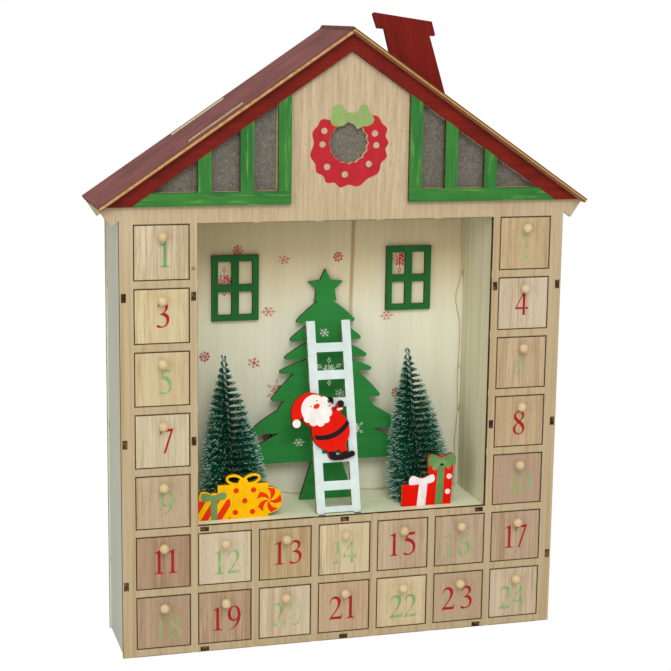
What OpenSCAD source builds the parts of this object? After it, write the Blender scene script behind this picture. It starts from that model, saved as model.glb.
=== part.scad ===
// Wooden advent calendar: a plywood house with 24 drawers round an open winter scene.
// Origin on the ground, midway across the body and midway through its depth. The front faces -Y.

/* [Boards] */
// Thickness of the plywood boards and cut-outs
ply = 3; // [2:0.5:3]
// Thickness of the drawers' box boards
drawer_ply = 2; // [1:0.5:3]
// Gap all round between a tab and its mortise
tab_fit = 0.2; // [0.1:0.05:0.4]
// Gap where two boards are glued edge to face
glue_gap = 0.05; // [0.02:0.01:0.1]

/* [Drawer grid] */
// Width of the front panel between the feet of its rafter tails
body_w = 319; // [290:0.5:350]
// Height of the top drawer openings' upper edge above the ground
drawers_h = 303.8; // [275:0.1:335]
// Width of the wood between two openings side by side
post_w = 5.65; // [5:0.05:8]
// Height of the wood between two openings one above the other
rail_h = 5.7; // [5:0.1:8]
// Width of the wood from the outer openings to the panel's edge
edge_w = 9.55; // [8:0.05:14]
// Height of the wood below the bottom openings
foot_h = 5.7; // [5:0.1:10]

/* [Body] */
// Depth of the house, over the front and back panels
body_depth = 64.5; // [60:0.5:80]
// How far the side panels stand inside the front panel's edge
side_inset = 1.1; // [0.5:0.1:2]
// Height of the base board's underside above the ground
base_lift = 0.6; // [0.5:0.1:1.5]
// How far the niche floor lies below the openings' lower edge
floor_drop = 1; // [0.5:0.1:1.5]
// Length of a tab in the front and back panels
tab_l = 5.8; // [4:0.1:10]
// Height of the lowest side tab's middle above the ground
tab_first_z = 52.2; // [40:0.1:60]
// Height from one side tab to the next
tab_step_z = 101.2; // [80:0.1:110]
// Distance from a side panel's outer face to the middle of a floor's outer tab
tab_in_x = 56.6; // [40:0.1:80]

/* [Roof] */
// Slope of the roof in degrees
roof_pitch = 34.2; // [30:0.1:40]
// How far the roof's underside reaches past the front panel at each side
eave_out = 13.1; // [8:0.1:20]
// Height of the roof's underside at the eave above the top openings
eave_rise = 10.1; // [8:0.1:20]
// Overhang of the roof in front of the front panel
roof_front_out = 8; // [5:0.5:15]
// Overhang of the roof behind the back panel
roof_back_out = 7.5; // [5:0.5:15]
// How far the right roof panel runs over the ridge
ridge_lap = 3.4; // [3.3:0.1:6]
// Depth of the rafter tails, square to the slope
tail_depth = 13.2; // [10:0.1:16]
// Length of the gable tabs that come up through the roof
roof_tab_l = 45; // [30:1:60]
// Distance from the ridge to the middle of the gable tabs, along the slope
roof_tab_mid = 111; // [90:1:130]
// How far those tabs stand out above the roof
roof_tab_out = 1.2; // [0:0.1:3]

/* [Gable] */
// Width of the barge board, square to the slope
barge_w = 10.1; // [8:0.1:13]
// Height of the barge board's foot above the eave
barge_rise = 2.1; // [1:0.1:5]
// Height of the gable frames' bottom bar
frame_bar_h = 9.1; // [6:0.1:12]
// Width of the gable frames' posts
frame_post_w = 9.2; // [6:0.1:12]
// Width of the bare panel between the two gable frames
gable_mid_w = 84; // [74:1:94]
// Gap between the inner and middle post of a gable frame
frame_gap_in = 17; // [12:0.5:22]
// Gap between the middle and outer post of a gable frame
frame_gap_out = 19.9; // [14:0.1:24]
// Radius of the hole inside the wreath
wreath_hole_r = 13.6; // [10:0.1:18]
// Height of the wreath's middle above the gable frames' foot
wreath_rise = 41; // [36:0.5:46]
// Offset of the wreath's middle to the right
wreath_x = -1; // [-4:0.5:4]
// Thickness of the film behind the gable
film_t = 0.5; // [0.3:0.1:1]
// How far the film reaches past the gable windows
film_lap = 4; // [3:0.5:5]

/* [Chimney] */
// Width of the chimney's cap
chimney_w = 46.3; // [38:0.1:52]
// Height of the chimney from its lower foot to its top
chimney_h = 65; // [58:0.5:72]
// Distance from the ridge to the cap's left end
chimney_x = 24.1; // [20:0.1:34]
// Height of the chimney's top above the ridge
chimney_rise = 9.4; // [6:0.1:16]
// Length of the chimney's tab in the roof
chimney_tab_l = 24; // [16:1:30]

/* [Drawers] */
// Gap all round between a drawer front and its opening
drawer_gap = 0.4; // [0.3:0.05:0.6]
// Gap between a drawer's back and the rear panel
drawer_back_gap = 3.5; // [1:0.5:20]
// How far a drawer's sides and back stop below its front's upper edge
drawer_side_drop = 5.9; // [4:0.1:12]
// Width of the knob's ball
knob_d = 6.6; // [5:0.1:8]
// How far the knob stands out of the front
knob_out = 8; // [7:0.1:10]
// Width of the knob's neck
knob_neck_d = 2.8; // [2:0.1:4]
// How far the knob's middle is below the front's upper edge
knob_drop = 7.3; // [6:0.1:12]

/* [Tree cut-out] */
// Height of the tree cut-out over its star
tree_h = 170; // [150:1:180]
// Half the width of the tree's lowest branch
tree_half_w = 70; // [60:0.5:76]
// Distance from the rear panel to the front of the tree's foot
tree_foot_in = 13.5; // [11:0.5:18]

/* [Ladder] */
// Length of the ladder
ladder_h = 138; // [130:0.5:145]
// Width of the ladder
ladder_w = 32.8; // [28:0.1:38]
// Width of a stile
stile_w = 6.4; // [5:0.1:8]
// Height of a rung
rung_h = 6.6; // [5:0.1:8]
// Distance from one rung to the next
rung_pitch = 19.9; // [18:0.1:21]
// Height of the lowest rung's underside above the ladder's foot
rung_first = 15.8; // [12:0.1:18]
// Height of the bar at the ladder's foot
foot_bar_h = 4.3; // [3:0.1:6]
// Distance from the front panel's face to the ladder's foot
ladder_foot_y = 10; // [8:0.5:16]
// Distance from the tree to the back of the ladder's top
ladder_top_in = 8.5; // [0.2:0.1:12]
// Offset of the ladder and the figure to the right
ladder_x = -1.5; // [-5:0.5:5]
// Width of the tab under each stile, which stands in a slot of the niche floor
ladder_tab_w = 4.8; // [3:0.1:6]

/* [Climbing figure] */
// Height of the figure, over its hat and boots
figure_h = 50; // [44:0.5:56]
// Height of the figure's boots above the ladder's foot
figure_lift = 37; // [32:0.5:42]

/* [Light string] */
// Diameter of the string's wire
string_d = 0.6; // [0.4:0.1:1.2]
// Diameter of a light's clear drop
light_d = 2; // [1.6:0.1:3]
// Length of a light's drop
light_l = 3.6; // [2:0.1:5]

/* [Windows on the rear wall] */
// Width of a window frame
window_w = 34.4; // [28:0.1:40]
// Height of a window frame
window_h = 47.6; // [40:0.1:54]
// Width of its border
window_border = 4.5; // [3:0.1:6]
// Width of its cross bars
window_bar = 5.2; // [3:0.1:7]
// Distance from the niche's left side to the left window
window_left_in = 22.2; // [10:0.1:32]
// Distance from the niche's right side to the right window
window_right_in = 25.3; // [10:0.1:32]
// Height of the left window's foot above the niche floor
window_left_z = 134; // [125:0.5:150]
// Height of the right window's foot above the niche floor
window_right_z = 137.5; // [125:0.5:150]

/* [Gifts] */
// Distance from the front panel's face to the gifts
gifts_y = 14; // [10:0.5:18]
// Distance from the niche's left side to the left gifts
gifts_left_in = 2.8; // [1:0.1:12]
// Width of the left gifts, over the sweet
gifts_left_w = 61; // [54:0.5:66]
// Height of the left gifts' large box
box_left_h = 25; // [20:0.5:30]
// Distance from the niche's right side to the right gifts
gifts_right_in = 19.7; // [12:0.1:26]
// Width of the right gifts
gifts_right_w = 39.2; // [34:0.5:44]
// Height of the right gifts' tall box
box_right_h = 32; // [27:0.5:37]

/* [Bottle-brush trees] */
// Height of a brush tree
brush_h = 115; // [100:1:120]
// Reach of the lowest bristles
brush_r = 27; // [22:0.5:30]
// Rows of three strands up a brush tree
brush_rows = 80; // [60:1:83]
// Radius of the twisted wire
wire_r = 1.3; // [1.1:0.1:1.6]
// Height of the lowest strands above the niche floor
brush_bare = 5; // [4:0.5:8]
// Distance from the brush trees' middle back to the foot of the tree cut-out
brush_tree_in = 15; // [13:0.5:17]
// Distance from the niche's left side to the left brush tree's foot
brush_left_in = 34.1; // [30:0.1:38]
// Distance from the niche's right side to the right brush tree's foot
brush_right_in = 37.2; // [30:0.1:40]
// Lean of the left brush tree to the left in degrees
brush_left_lean = 4.6; // [0:0.1:6]
// Lean of the right brush tree to the left in degrees
brush_right_lean = 7; // [0:0.1:8]

/* [Hidden] */
$fn = 48;

// Columns and rows of the drawer grid, and the rows beside the niche
cols = 7;
rows = 7;
low_rows = 2;
opening_w = (body_w - 2 * edge_w - (cols - 1) * post_w) / cols;
opening_h = (drawers_h - foot_h - (rows - 1) * rail_h) / rows;
col_pitch = opening_w + post_w;
row_pitch = opening_h + rail_h;

// The body's main places
front_y = -body_depth / 2;
back_y = body_depth / 2;
in_front_y = front_y + ply;
in_back_y = back_y - ply;
side_out_x = body_w / 2 - side_inset;
side_in_x = side_out_x - ply;
niche_wall_x = body_w / 2 - edge_w - opening_w - post_w / 2;
function col_x(c) = (c - (cols - 1) / 2) * col_pitch;
function row_z(r) = foot_h + r * row_pitch;
grid_top_z = drawers_h;
base_top_z = base_lift + ply;
floor_z = row_z(low_rows) - floor_drop;
floor_under_z = floor_z - ply;
niche_half_w = body_w / 2 - edge_w - col_pitch;
drawer_len = body_depth - ply - drawer_back_gap;
drawer_front_h = opening_h - 2 * drawer_gap;
drawer_side_h = drawer_front_h - drawer_side_drop;
knob_z = drawer_front_h - knob_drop;

// The roof's underside runs from the eave to the peak
eave_x = body_w / 2 + eave_out;
eave_z = grid_top_z + eave_rise;
peak_z = eave_z + eave_x * tan(roof_pitch);
function under_z(x) = peak_z - abs(x) * tan(roof_pitch);
slope_l = eave_x / cos(roof_pitch);
// The left panel stops short, so that its upper corner meets the right panel's underside
ridge_cut = ply * (cos(roof_pitch) - sin(roof_pitch) * tan(roof_pitch)) / (2 * sin(roof_pitch));
ridge_z = peak_z + ply * cos(roof_pitch) + ridge_lap * sin(roof_pitch);

// The gable's trim
barge_drop = barge_w / cos(roof_pitch);
frame_z = eave_z + barge_rise;
window_z = frame_z + frame_bar_h;
gable_in_x = gable_mid_w / 2;
function barge_x(z) = (peak_z - barge_drop - z) / tan(roof_pitch);
wreath_teeth = 16;
wreath_steps = 6;
wreath_tooth_share = 0.035;

// Places in the niche
rear_gap = 0.2;
tree_lean = asin((tree_foot_in - ply - rear_gap) / tree_h);
tree_foot_y = body_depth - ply - tree_foot_in;
tree_back_y = in_back_y - tree_foot_in + ply;
brush_y = tree_foot_y - brush_tree_in;
ladder_back_y = front_y + ladder_foot_y + ply;
lean_room = tree_back_y - ladder_back_y - ply / cos(tree_lean) - ladder_top_in;
ladder_lean = tree_lean + asin(lean_room * cos(tree_lean) / ladder_h);

cut_over = 1;

// A flat shape drawn in X and Z, given its thickness from y towards the back
module plate(y, t) {
    translate([0, y + t, 0]) rotate([90, 0, 0]) linear_extrude(t) children();
}

// A rectangle between two corners
module span(a, b) {
    translate(a) square(b - a);
}

// A box between two corners
module block(a, b) {
    translate(a) cube(b - a);
}

// Points of an ellipse, or of part of one
function arc(c, r, from = 0, to = 350, step = 10) =
    [for (a = [from:step:to]) [c[0] + r[0] * cos(a), c[1] + r[1] * sin(a)]];

// Points of a curve from a to b that bows out towards q, without its last point
function bow(a, q, b, steps = 5) =
    [for (i = [0:steps - 1]) let (t = i / steps)
        (1 - t) * (1 - t) * a + 2 * t * (1 - t) * q + t * t * b];

// Points mirrored to the left side, in the order that closes the outline
function across(p) = [for (i = [len(p) - 1:-1:0]) [-p[i][0], p[i][1]]];

// The outline that the front and back panels share, with the rafter tails and the roof's tabs
module house_outline() {
    tail = tail_depth * [sin(roof_pitch), cos(roof_pitch)];
    tail_z = eave_z - tail[1] + (eave_x - tail[0] - body_w / 2) * tan(roof_pitch);
    right = [
        [body_w / 2, 0],
        [body_w / 2, tail_z],
        [eave_x - tail[0], eave_z - tail[1]],
        [eave_x, eave_z]
    ];
    polygon(concat(right, [[0, peak_z]], across(right)));
    roof_tabs(0);
}

// A rectangle on a roof slope: from s0 to s1 down the slope, from h0 to h1 above its underside
module on_slope(side, s0, s1, h0, h1) {
    translate([0, peak_z]) rotate(side > 0 ? -roof_pitch : 180 + roof_pitch)
        span([s0, side > 0 ? h0 : -h1], [s1, side > 0 ? h1 : -h0]);
}

// The tabs of a gable that come up through both roof panels
module roof_tabs(gap) {
    for (side = [-1, 1])
        on_slope(side, roof_tab_mid - roof_tab_l / 2 - gap, roof_tab_mid + roof_tab_l / 2 + gap,
            -ply, ply + roof_tab_out + (gap > 0 ? cut_over : 0));
}

// Upright tabs beside the walls, one for each height in steps
module wall_tabs(x, steps, gap) {
    for (k = steps)
        translate([x, tab_first_z + k * tab_step_z])
            square([ply + 2 * gap, tab_l + 2 * gap], center = true);
}

// Tabs along the edge of a floor whose underside is at z
module floor_tabs(z, gap) {
    for (k = [-1:1])
        translate([k * (side_out_x - tab_in_x), z + ply / 2])
            square([tab_l + 2 * gap, ply + 2 * gap], center = true);
}

// All mortises of the front and back panels
module mortises() {
    for (side = [-1, 1]) {
        wall_tabs(side * (side_in_x + ply / 2), [0:2], tab_fit);
        wall_tabs(side * niche_wall_x, [1:2], tab_fit);
    }
    floor_tabs(base_lift, tab_fit);
    floor_tabs(floor_under_z, tab_fit);
}

// The hole inside the wreath, with a wavy rim
module wreath_hole() {
    n = wreath_teeth * wreath_steps;
    polygon([for (i = [0:n - 1])
        let (a = 360 * i / n, r = wreath_hole_r * (1 + wreath_tooth_share * cos(wreath_teeth * a)))
        [wreath_x + r * cos(a), frame_z + wreath_rise + r * sin(a)]]);
}

// One gable window: from the frame's inner post out to the barge board
module gable_window(side) {
    inner = gable_in_x + frame_post_w;
    polygon([
        [side * inner, window_z],
        [side * barge_x(window_z), window_z],
        [side * inner, peak_z - barge_drop - inner * tan(roof_pitch)]
    ]);
}

module front_panel() color("burlywood") plate(front_y, ply) {
    difference() {
        house_outline();
        for (n = [1:24])
            translate([col_x(number_col(n)) - opening_w / 2, row_z(number_row(n))])
                square([opening_w, opening_h]);
        span([-niche_half_w, row_z(low_rows)], [niche_half_w, grid_top_z]);
        mortises();
        wreath_hole();
        gable_window(-1);
        gable_window(1);
    }
}

module back_panel() color("burlywood") plate(in_back_y, ply) {
    difference() {
        house_outline();
        mortises();
    }
}

// An upright wall with tabs into the front and back panels
module wall(x, z0, z1, steps) {
    block([x - ply / 2, in_front_y + glue_gap, z0], [x + ply / 2, in_back_y - glue_gap, z1]);
    for (y = [front_y, in_back_y - glue_gap])
        plate(y, ply + glue_gap) wall_tabs(x, steps, 0);
}

// The side's top edge stays under the roof at its outer face
module side_panel(side) {
    wall(side * (side_in_x + ply / 2), 0, under_z(side_out_x) - glue_gap, [0:2]);
}

module left_side() color("tan") side_panel(-1);

module right_side() color("tan") side_panel(1);

// A floor board between the side panels with tabs front and back
module floor_board(z) {
    block([-side_in_x + glue_gap, in_front_y + glue_gap, z],
        [side_in_x - glue_gap, in_back_y - glue_gap, z + ply]);
    for (y = [front_y, in_back_y - glue_gap])
        plate(y, ply + glue_gap) floor_tabs(z, 0);
}

module base_board() color("tan") floor_board(base_lift);

// The niche floor, with slots for the ladder's tabs that are wide enough for its lean
module niche_floor() color("wheat") difference() {
    floor_board(floor_under_z);
    half = ladder_tab_w / 2 + tab_fit;
    for (side = [-1, 1])
        translate([ladder_x + side * (ladder_w - stile_w) / 2, 0])
            block([-half, ladder_back_y - ply / cos(ladder_lean) - ply * tan(ladder_lean) - tab_fit,
                    floor_under_z - cut_over],
                [half, ladder_back_y + tab_fit, floor_z + cut_over]);
}

module niche_wall(side) {
    wall(side * niche_wall_x, floor_z + glue_gap, grid_top_z + ply, [1:2]);
}

module niche_left_wall() color("wheat") niche_wall(-1);

module niche_right_wall() color("wheat") niche_wall(1);

// The four shelves between the drawers of one side column, from the niche wall to the side
module column_shelves(side) {
    x0 = niche_wall_x + ply / 2 + glue_gap;
    x1 = side_in_x - glue_gap;
    for (r = [low_rows + 1:rows - 1])
        block([side > 0 ? x0 : -x1, in_front_y + glue_gap, row_z(r) - ply],
            [side > 0 ? x1 : -x0, in_back_y - glue_gap, row_z(r)]);
}

module left_shelves() color("tan") column_shelves(-1);

module right_shelves() color("tan") column_shelves(1);

function divider_x(i) = col_x(i) - col_pitch / 2;
slot_half = ply / 2 + tab_fit;

// The long shelf under the second row, slotted from the front for the dividers
module lower_shelf() color("tan") difference() {
    block([-side_in_x + glue_gap, in_front_y + glue_gap, row_z(1) - ply],
        [side_in_x - glue_gap, in_back_y - glue_gap, row_z(1)]);
    for (i = [1:cols - 1])
        block([divider_x(i) - slot_half, front_y, row_z(1) - ply - cut_over],
            [divider_x(i) + slot_half, tab_fit, row_z(1) + cut_over]);
}

// One upright between the bottom drawers, slotted from the back for the long shelf
module lower_divider(i) color("tan") difference() {
    block([divider_x(i) - ply / 2, in_front_y + glue_gap, base_top_z + glue_gap],
        [divider_x(i) + ply / 2, in_back_y - glue_gap, floor_under_z - glue_gap]);
    block([divider_x(i) - slot_half, -tab_fit, row_z(1) - ply - tab_fit],
        [divider_x(i) + slot_half, back_y, row_z(1) + tab_fit]);
}

// A roof panel with slots for the gable tabs; start is where its underside begins
module roof_panel(side, start) {
    difference() {
        plate(front_y - roof_front_out, body_depth + roof_front_out + roof_back_out)
            on_slope(side, start, slope_l, 0, ply);
        for (y = [front_y, in_back_y])
            plate(y - tab_fit, ply + 2 * tab_fit) roof_tabs(tab_fit);
    }
}

module roof_left() color("rosybrown") roof_panel(-1, ridge_cut);

module roof_right() color("rosybrown") difference() {
    roof_panel(1, -ridge_lap);
    plate(-ply / 2 - tab_fit, ply + 2 * tab_fit) chimney_tab(tab_fit);
}

// A chevron under the roof's front edge, its feet cut level
module barge_board() color("darkred") plate(front_y - ply - glue_gap, ply)
    intersection() {
        polygon([[-eave_x, eave_z - glue_gap], [0, peak_z - glue_gap], [eave_x, eave_z - glue_gap],
            [eave_x, eave_z - barge_drop], [0, peak_z - barge_drop], [-eave_x, eave_z - barge_drop]]);
        span([-eave_x, frame_z], [eave_x, peak_z]);
    }

// A comb of three posts on a bar, its tops cut along the barge board
module gable_frame(side) {
    second = gable_in_x + frame_post_w + frame_gap_in;
    third = second + frame_post_w + frame_gap_out;
    plate(front_y - ply - glue_gap, ply) mirror([side < 0 ? 1 : 0, 0]) intersection() {
        union() {
            span([gable_in_x, frame_z], [eave_x, window_z]);
            for (x = [gable_in_x, second, third])
                span([x, frame_z], [x + frame_post_w, peak_z]);
        }
        polygon([[0, frame_z], [barge_x(frame_z) - glue_gap, frame_z],
            [0, peak_z - barge_drop - glue_gap]]);
    }
}

module gable_frame_left() color("forestgreen") gable_frame(-1);

module gable_frame_right() color("forestgreen") gable_frame(1);

// One sheet of film behind both gable windows and the wreath's hole
module gable_film() color("dimgray") plate(in_front_y + glue_gap, film_t) {
    z0 = window_z - film_lap;
    top = peak_z - barge_drop + film_lap;
    half = (top - z0) / tan(roof_pitch);
    polygon([[-half, z0], [half, z0], [0, top]]);
}

// The chimney's outline: down the left side from the cap, up the right side and over the cap
chimney_shares = [[0.03, 1], [0, 0.98], [0.073, 0.831], [0.184, 0.824], [0.326, 0.44],
    [1.24, 0], [0.911, 0.756], [0.97, 0.753], [1, 0.765], [0.94, 0.91]];
chimney_tab_share = 0.68;

function chimney_tab_mid() = (chimney_x + chimney_tab_share * chimney_w) / cos(roof_pitch);

module chimney_tab(gap) {
    on_slope(1, chimney_tab_mid() - chimney_tab_l / 2 - gap, chimney_tab_mid() + chimney_tab_l / 2 + gap,
        gap > 0 ? -cut_over : 0, ply + cut_over);
}

// A plate that stands on the right roof panel, with a tab through it
module chimney() color("firebrick") plate(-ply / 2, ply) {
    top_z = ridge_z + chimney_rise;
    difference() {
        polygon([for (s = chimney_shares)
            [chimney_x + s[0] * chimney_w, top_z - (1 - s[1]) * chimney_h]]);
        on_slope(1, 0, slope_l, -chimney_h, ply + glue_gap);
    }
    chimney_tab(0);
}

// Where each number sits: pairs up the two side columns, then the two full rows
function number_col(n) = n <= 10 ? (n % 2 == 1 ? 0 : cols - 1) : (n - 11) % cols;
function number_row(n) = n <= 10 ? rows - ceil(n / 2) : (n < 18 ? 1 : 0);

// A turned knob: a neck with a ball on it, its foot on the face
module knob() {
    r = knob_d / 2;
    rotate([90, 0, 0]) rotate_extrude() union() {
        square([knob_neck_d / 2, knob_out - r]);
        intersection() {
            translate([0, knob_out - r]) circle(r);
            square([r, knob_out]);
        }
    }
}

// One drawer: front, two sides, back, bottom and knob, glued but separate
module drawer(n) color("navajowhite")
    translate([col_x(number_col(n)), front_y, row_z(number_row(n)) + drawer_gap]) {
        half = opening_w / 2 - drawer_gap;
        in_half = half - drawer_ply - glue_gap;
        behind = ply + glue_gap;
        block([-half, 0, 0], [half, ply, drawer_front_h]);
        for (side = [-1, 1])
            translate([side * (half - drawer_ply / 2) - drawer_ply / 2, behind, 0])
                cube([drawer_ply, drawer_len - behind, drawer_side_h]);
        block([-in_half, drawer_len - drawer_ply, 0], [in_half, drawer_len, drawer_side_h]);
        block([-in_half, behind, 0], [in_half, drawer_len - drawer_ply - glue_gap, drawer_ply]);
        translate([0, -glue_gap, knob_z]) knob();
    }

// The tree's branches, lowest first: its underside, its tip, and the notch above it
branch_shares = [
    [0.168, 1, 0.507, 0.298], [0.298, 0.836, 0.451, 0.414], [0.438, 0.59, 0.349, 0.55],
    [0.555, 0.496, 0.2, 0.612], [0.615, 0.443, 0.18, 0.69], [0.692, 0.381, 0.165, 0.768],
    [0.77, 0.313, 0.077, 0.864]
];
star_shares = [[0.116, 0.861], [0.1, 0.913], [0.187, 0.947], [0.057, 0.953]];
trunk_shares = [[0.296, 0], [0.164, 0.168]];
branch_tip_share = 0.009;
branch_bow_share = 0.03;
// The round of a branch's tip: where it ends and its steps, in degrees
branch_tip_end = 50;
branch_tip_step = 20;

function tree_point(s) = [s[0] * tree_half_w, s[1] * tree_h];

// One branch: along its underside, round its tip and back up its bowed top
function branch(s) =
    let (r = branch_tip_share * tree_h, z = s[0] * tree_h, tip = s[1] * tree_half_w,
        notch = tree_point([s[2], s[3]]), c = [tip - r, z + r],
        a = c + r * [cos(branch_tip_end), sin(branch_tip_end)], mid = (a + notch) / 2,
        out = [notch[1] - a[1], a[0] - notch[0]] * branch_bow_share)
    concat(arc(c, [r, r], -90, branch_tip_end - branch_tip_step, branch_tip_step),
        bow(a, mid + 2 * out, notch));

function tree_side() = concat(
    [for (s = trunk_shares) tree_point(s)],
    [for (s = branch_shares) each concat(
        s == branch_shares[0] ? [] : [[notch_below(s) * tree_half_w, s[0] * tree_h]], branch(s))],
    [for (s = concat([[branch_shares[6][2], branch_shares[6][3]]], star_shares)) tree_point(s)]
);
function notch_below(s) = [for (i = [1:6]) if (branch_shares[i] == s) branch_shares[i - 1][2]][0];

// The flat tree, leaning back on the rear wall
module tree_cutout() color("seagreen") {
    side = tree_side();
    translate([0, tree_back_y, floor_z + glue_gap]) rotate([-tree_lean, 0, 0]) plate(-ply, ply)
        polygon(concat(side, [[0, tree_h]], across(side)));
}

// Stands its children in the ladder's plane, d in front of its face
module on_ladder(d) {
    translate([ladder_x, ladder_back_y, floor_z + glue_gap]) rotate([-ladder_lean, 0, 0])
        plate(-ply - d, ply) children();
}

ladder_tab_h = ply - 2 * tab_fit;

module ladder() color("white") on_ladder(0) difference() {
    union() {
        span([-ladder_w / 2, 0], [ladder_w / 2, ladder_h]);
        for (side = [-1, 1])
            translate([side * (ladder_w - stile_w) / 2, 0])
                span([-ladder_tab_w / 2, -ladder_tab_h], [ladder_tab_w / 2, foot_bar_h]);
    }
    inner = ladder_w / 2 - stile_w;
    rungs = floor((ladder_h - rung_first - rung_h) / rung_pitch);
    span([-inner, foot_bar_h], [inner, rung_first]);
    for (i = [0:rungs])
        span([-inner, rung_first + i * rung_pitch + rung_h],
            [inner, i < rungs ? rung_first + (i + 1) * rung_pitch : ladder_h + cut_over]);
}

// Points of a bar with round ends between two points, and the steps round its ends in degrees
limb_step = 15;
function limb(a, b, w) =
    let (turn = atan2(b[1] - a[1], b[0] - a[0]), r = [w / 2, w / 2])
    concat(arc(b, r, turn - 90, turn + 90, limb_step), arc(a, r, turn + 90, turn + 270, limb_step));

// The figure in shares of its height, from a point on the ladder's middle line.
// Body and bearded head: middle x and z, half width and half height
figure_oval_shares = [[-0.07, 0.43, 0.285, 0.29], [-0.26, 0.715, 0.24, 0.245]];
// Hat: three curves, each with its start, its pull and its end
figure_hat_shares = [
    [[-0.19, 0.94], [-0.38, 1.06], [-0.54, 0.91]], [[-0.54, 0.91], [-0.67, 0.8], [-0.63, 0.6]],
    [[-0.63, 0.6], [-0.5, 0.6], [-0.4, 0.7]]
];
// Pompom: middle and radii
figure_pompom_shares = [[-0.57, 0.555], [0.064, 0.064]];
// Arms, legs and boots: start, end and width
figure_limb_shares = [
    [[-0.06, 0.66], [-0.05, 0.87], 0.095], [[0.02, 0.64], [0.105, 0.81], 0.095],
    [[-0.11, 0.22], [-0.06, 0.07], 0.11], [[0.07, 0.24], [0.115, 0.1], 0.11],
    [[-0.035, 0.04], [0.075, 0.04], 0.08], [[0.13, 0.05], [0.235, 0.085], 0.08]
];

// A plain climbing figure in a pointed hat
module figure_outline() {
    for (e = figure_oval_shares)
        polygon(arc([e[0], e[1]] * figure_h, [e[2], e[3]] * figure_h));
    polygon([for (c = figure_hat_shares) each bow(c[0] * figure_h, c[1] * figure_h, c[2] * figure_h)]);
    polygon(arc(figure_pompom_shares[0] * figure_h, figure_pompom_shares[1] * figure_h));
    for (l = figure_limb_shares)
        polygon(limb(l[0] * figure_h, l[1] * figure_h, l[2] * figure_h));
}

module climbing_figure() color("red") on_ladder(ply + glue_gap)
    translate([0, figure_lift]) figure_outline();

// A four-pane frame, the middle of its foot at x and z above the niche floor
module niche_window(x, z) {
    pane_w = (window_w - 2 * window_border - window_bar) / 2;
    pane_h = (window_h - 2 * window_border - window_bar) / 2;
    plate(in_back_y - ply, ply) translate([x - window_w / 2, floor_z + z]) difference() {
        square([window_w, window_h]);
        for (i = [0, 1], j = [0, 1])
            translate([window_border + i * (pane_w + window_bar), window_border + j * (pane_h + window_bar)])
                square([pane_w, pane_h]);
    }
}

module niche_window_left() color("seagreen")
    niche_window(window_left_in + window_w / 2 - niche_half_w, window_left_z);

module niche_window_right() color("seagreen")
    niche_window(niche_half_w - window_right_in - window_w / 2, window_right_z);

// A bow of two solid loops and a knot in shares of its width: the loop's foot in the middle,
// its outer foot, the pull of its outer curve, its top, and the dip between the loops
ribbon_loop_shares = [[0, -0.1], [0.46, -0.1], [0.55, 0.33], [0.3, 0.3], [0, 0.17]];
// Its knot: height and radius
ribbon_knot_shares = [0.12, 0.12];

module ribbon_bow(w) {
    p = ribbon_loop_shares * w;
    loop = concat(bow(p[1], p[2], p[3]), [p[3]]);
    polygon(concat([p[0]], loop, [p[4]], across(loop)));
    translate([0, ribbon_knot_shares[0] * w]) circle(ribbon_knot_shares[1] * w);
}

// A bow of two open loops in shares of its width: a loop's middle, its half width and half
// height, its band, and its knot's height and radius
loop_middle_shares = [0.25, 0.13];
loop_half_shares = [0.26, 0.16];
loop_band_share = 0.075;
loop_knot_shares = [0.04, 0.14];
loop_turn = 12;

module loop_bow(w) {
    band = loop_band_share * w * [1, 1];
    for (side = [-1, 1])
        translate([side * loop_middle_shares[0], loop_middle_shares[1]] * w)
        rotate(side * loop_turn) difference() {
            polygon(arc([0, 0], loop_half_shares * w));
            polygon(arc([0, 0], loop_half_shares * w - band));
        }
    translate([0, loop_knot_shares[0] * w]) circle(loop_knot_shares[1] * w);
}

// Left gifts, one plate: a small gift and its bow, a large gift and its bow, a round sweet.
// Widths are shares of the plate's width, heights shares of the large box's height
small_left_shares = [0.38, 0.58];
small_left_bow_shares = [0.185, 0.37];
large_left_shares = [0.23, 0.835];
large_left_bow_share = 0.41;
sweet_left_shares = [0.841, 0.159, 0.48];

module gifts_left() color("gold") plate(front_y + gifts_y, ply)
    translate([gifts_left_in - niche_half_w, floor_z + glue_gap]) {
        w = gifts_left_w;
        h = box_left_h;
        square([small_left_shares[0] * w, small_left_shares[1] * h]);
        translate([small_left_bow_shares[0] * w, small_left_shares[1] * h])
            ribbon_bow(small_left_bow_shares[1] * w);
        span([large_left_shares[0] * w, 0], [large_left_shares[1] * w, h]);
        translate([(large_left_shares[0] + large_left_shares[1]) * w / 2, h])
            loop_bow(large_left_bow_share * w);
        translate([sweet_left_shares[0] * w, sweet_left_shares[2] * h])
            circle(sweet_left_shares[1] * w);
    }

// Right gifts, one plate: a small gift and a leaning tall one, each with its bow.
// Widths are shares of the plate's width, heights shares of the tall box's height
small_right_shares = [0.64, 0.51];
small_right_bow_shares = [0.38, 0.51];
tall_right_shares = [[0.6, 0], [0.95, 0], [1, 0.956], [0.485, 1.06]];
tall_right_bow_shares = [0.765, 0.98, 0.57];

module gifts_right() color("red") plate(front_y + gifts_y, ply)
    translate([niche_half_w - gifts_right_in - gifts_right_w, floor_z + glue_gap]) {
        w = gifts_right_w;
        h = box_right_h;
        square([small_right_shares[0] * w, small_right_shares[1] * h]);
        translate([small_right_bow_shares[0] * w, small_right_shares[1] * h])
            ribbon_bow(small_right_bow_shares[1] * w);
        polygon([for (s = tall_right_shares) [s[0] * w, s[1] * h]]);
        translate([tall_right_bow_shares[0] * w, tall_right_bow_shares[1] * h])
            ribbon_bow(tall_right_bow_shares[2] * w);
    }

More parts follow.
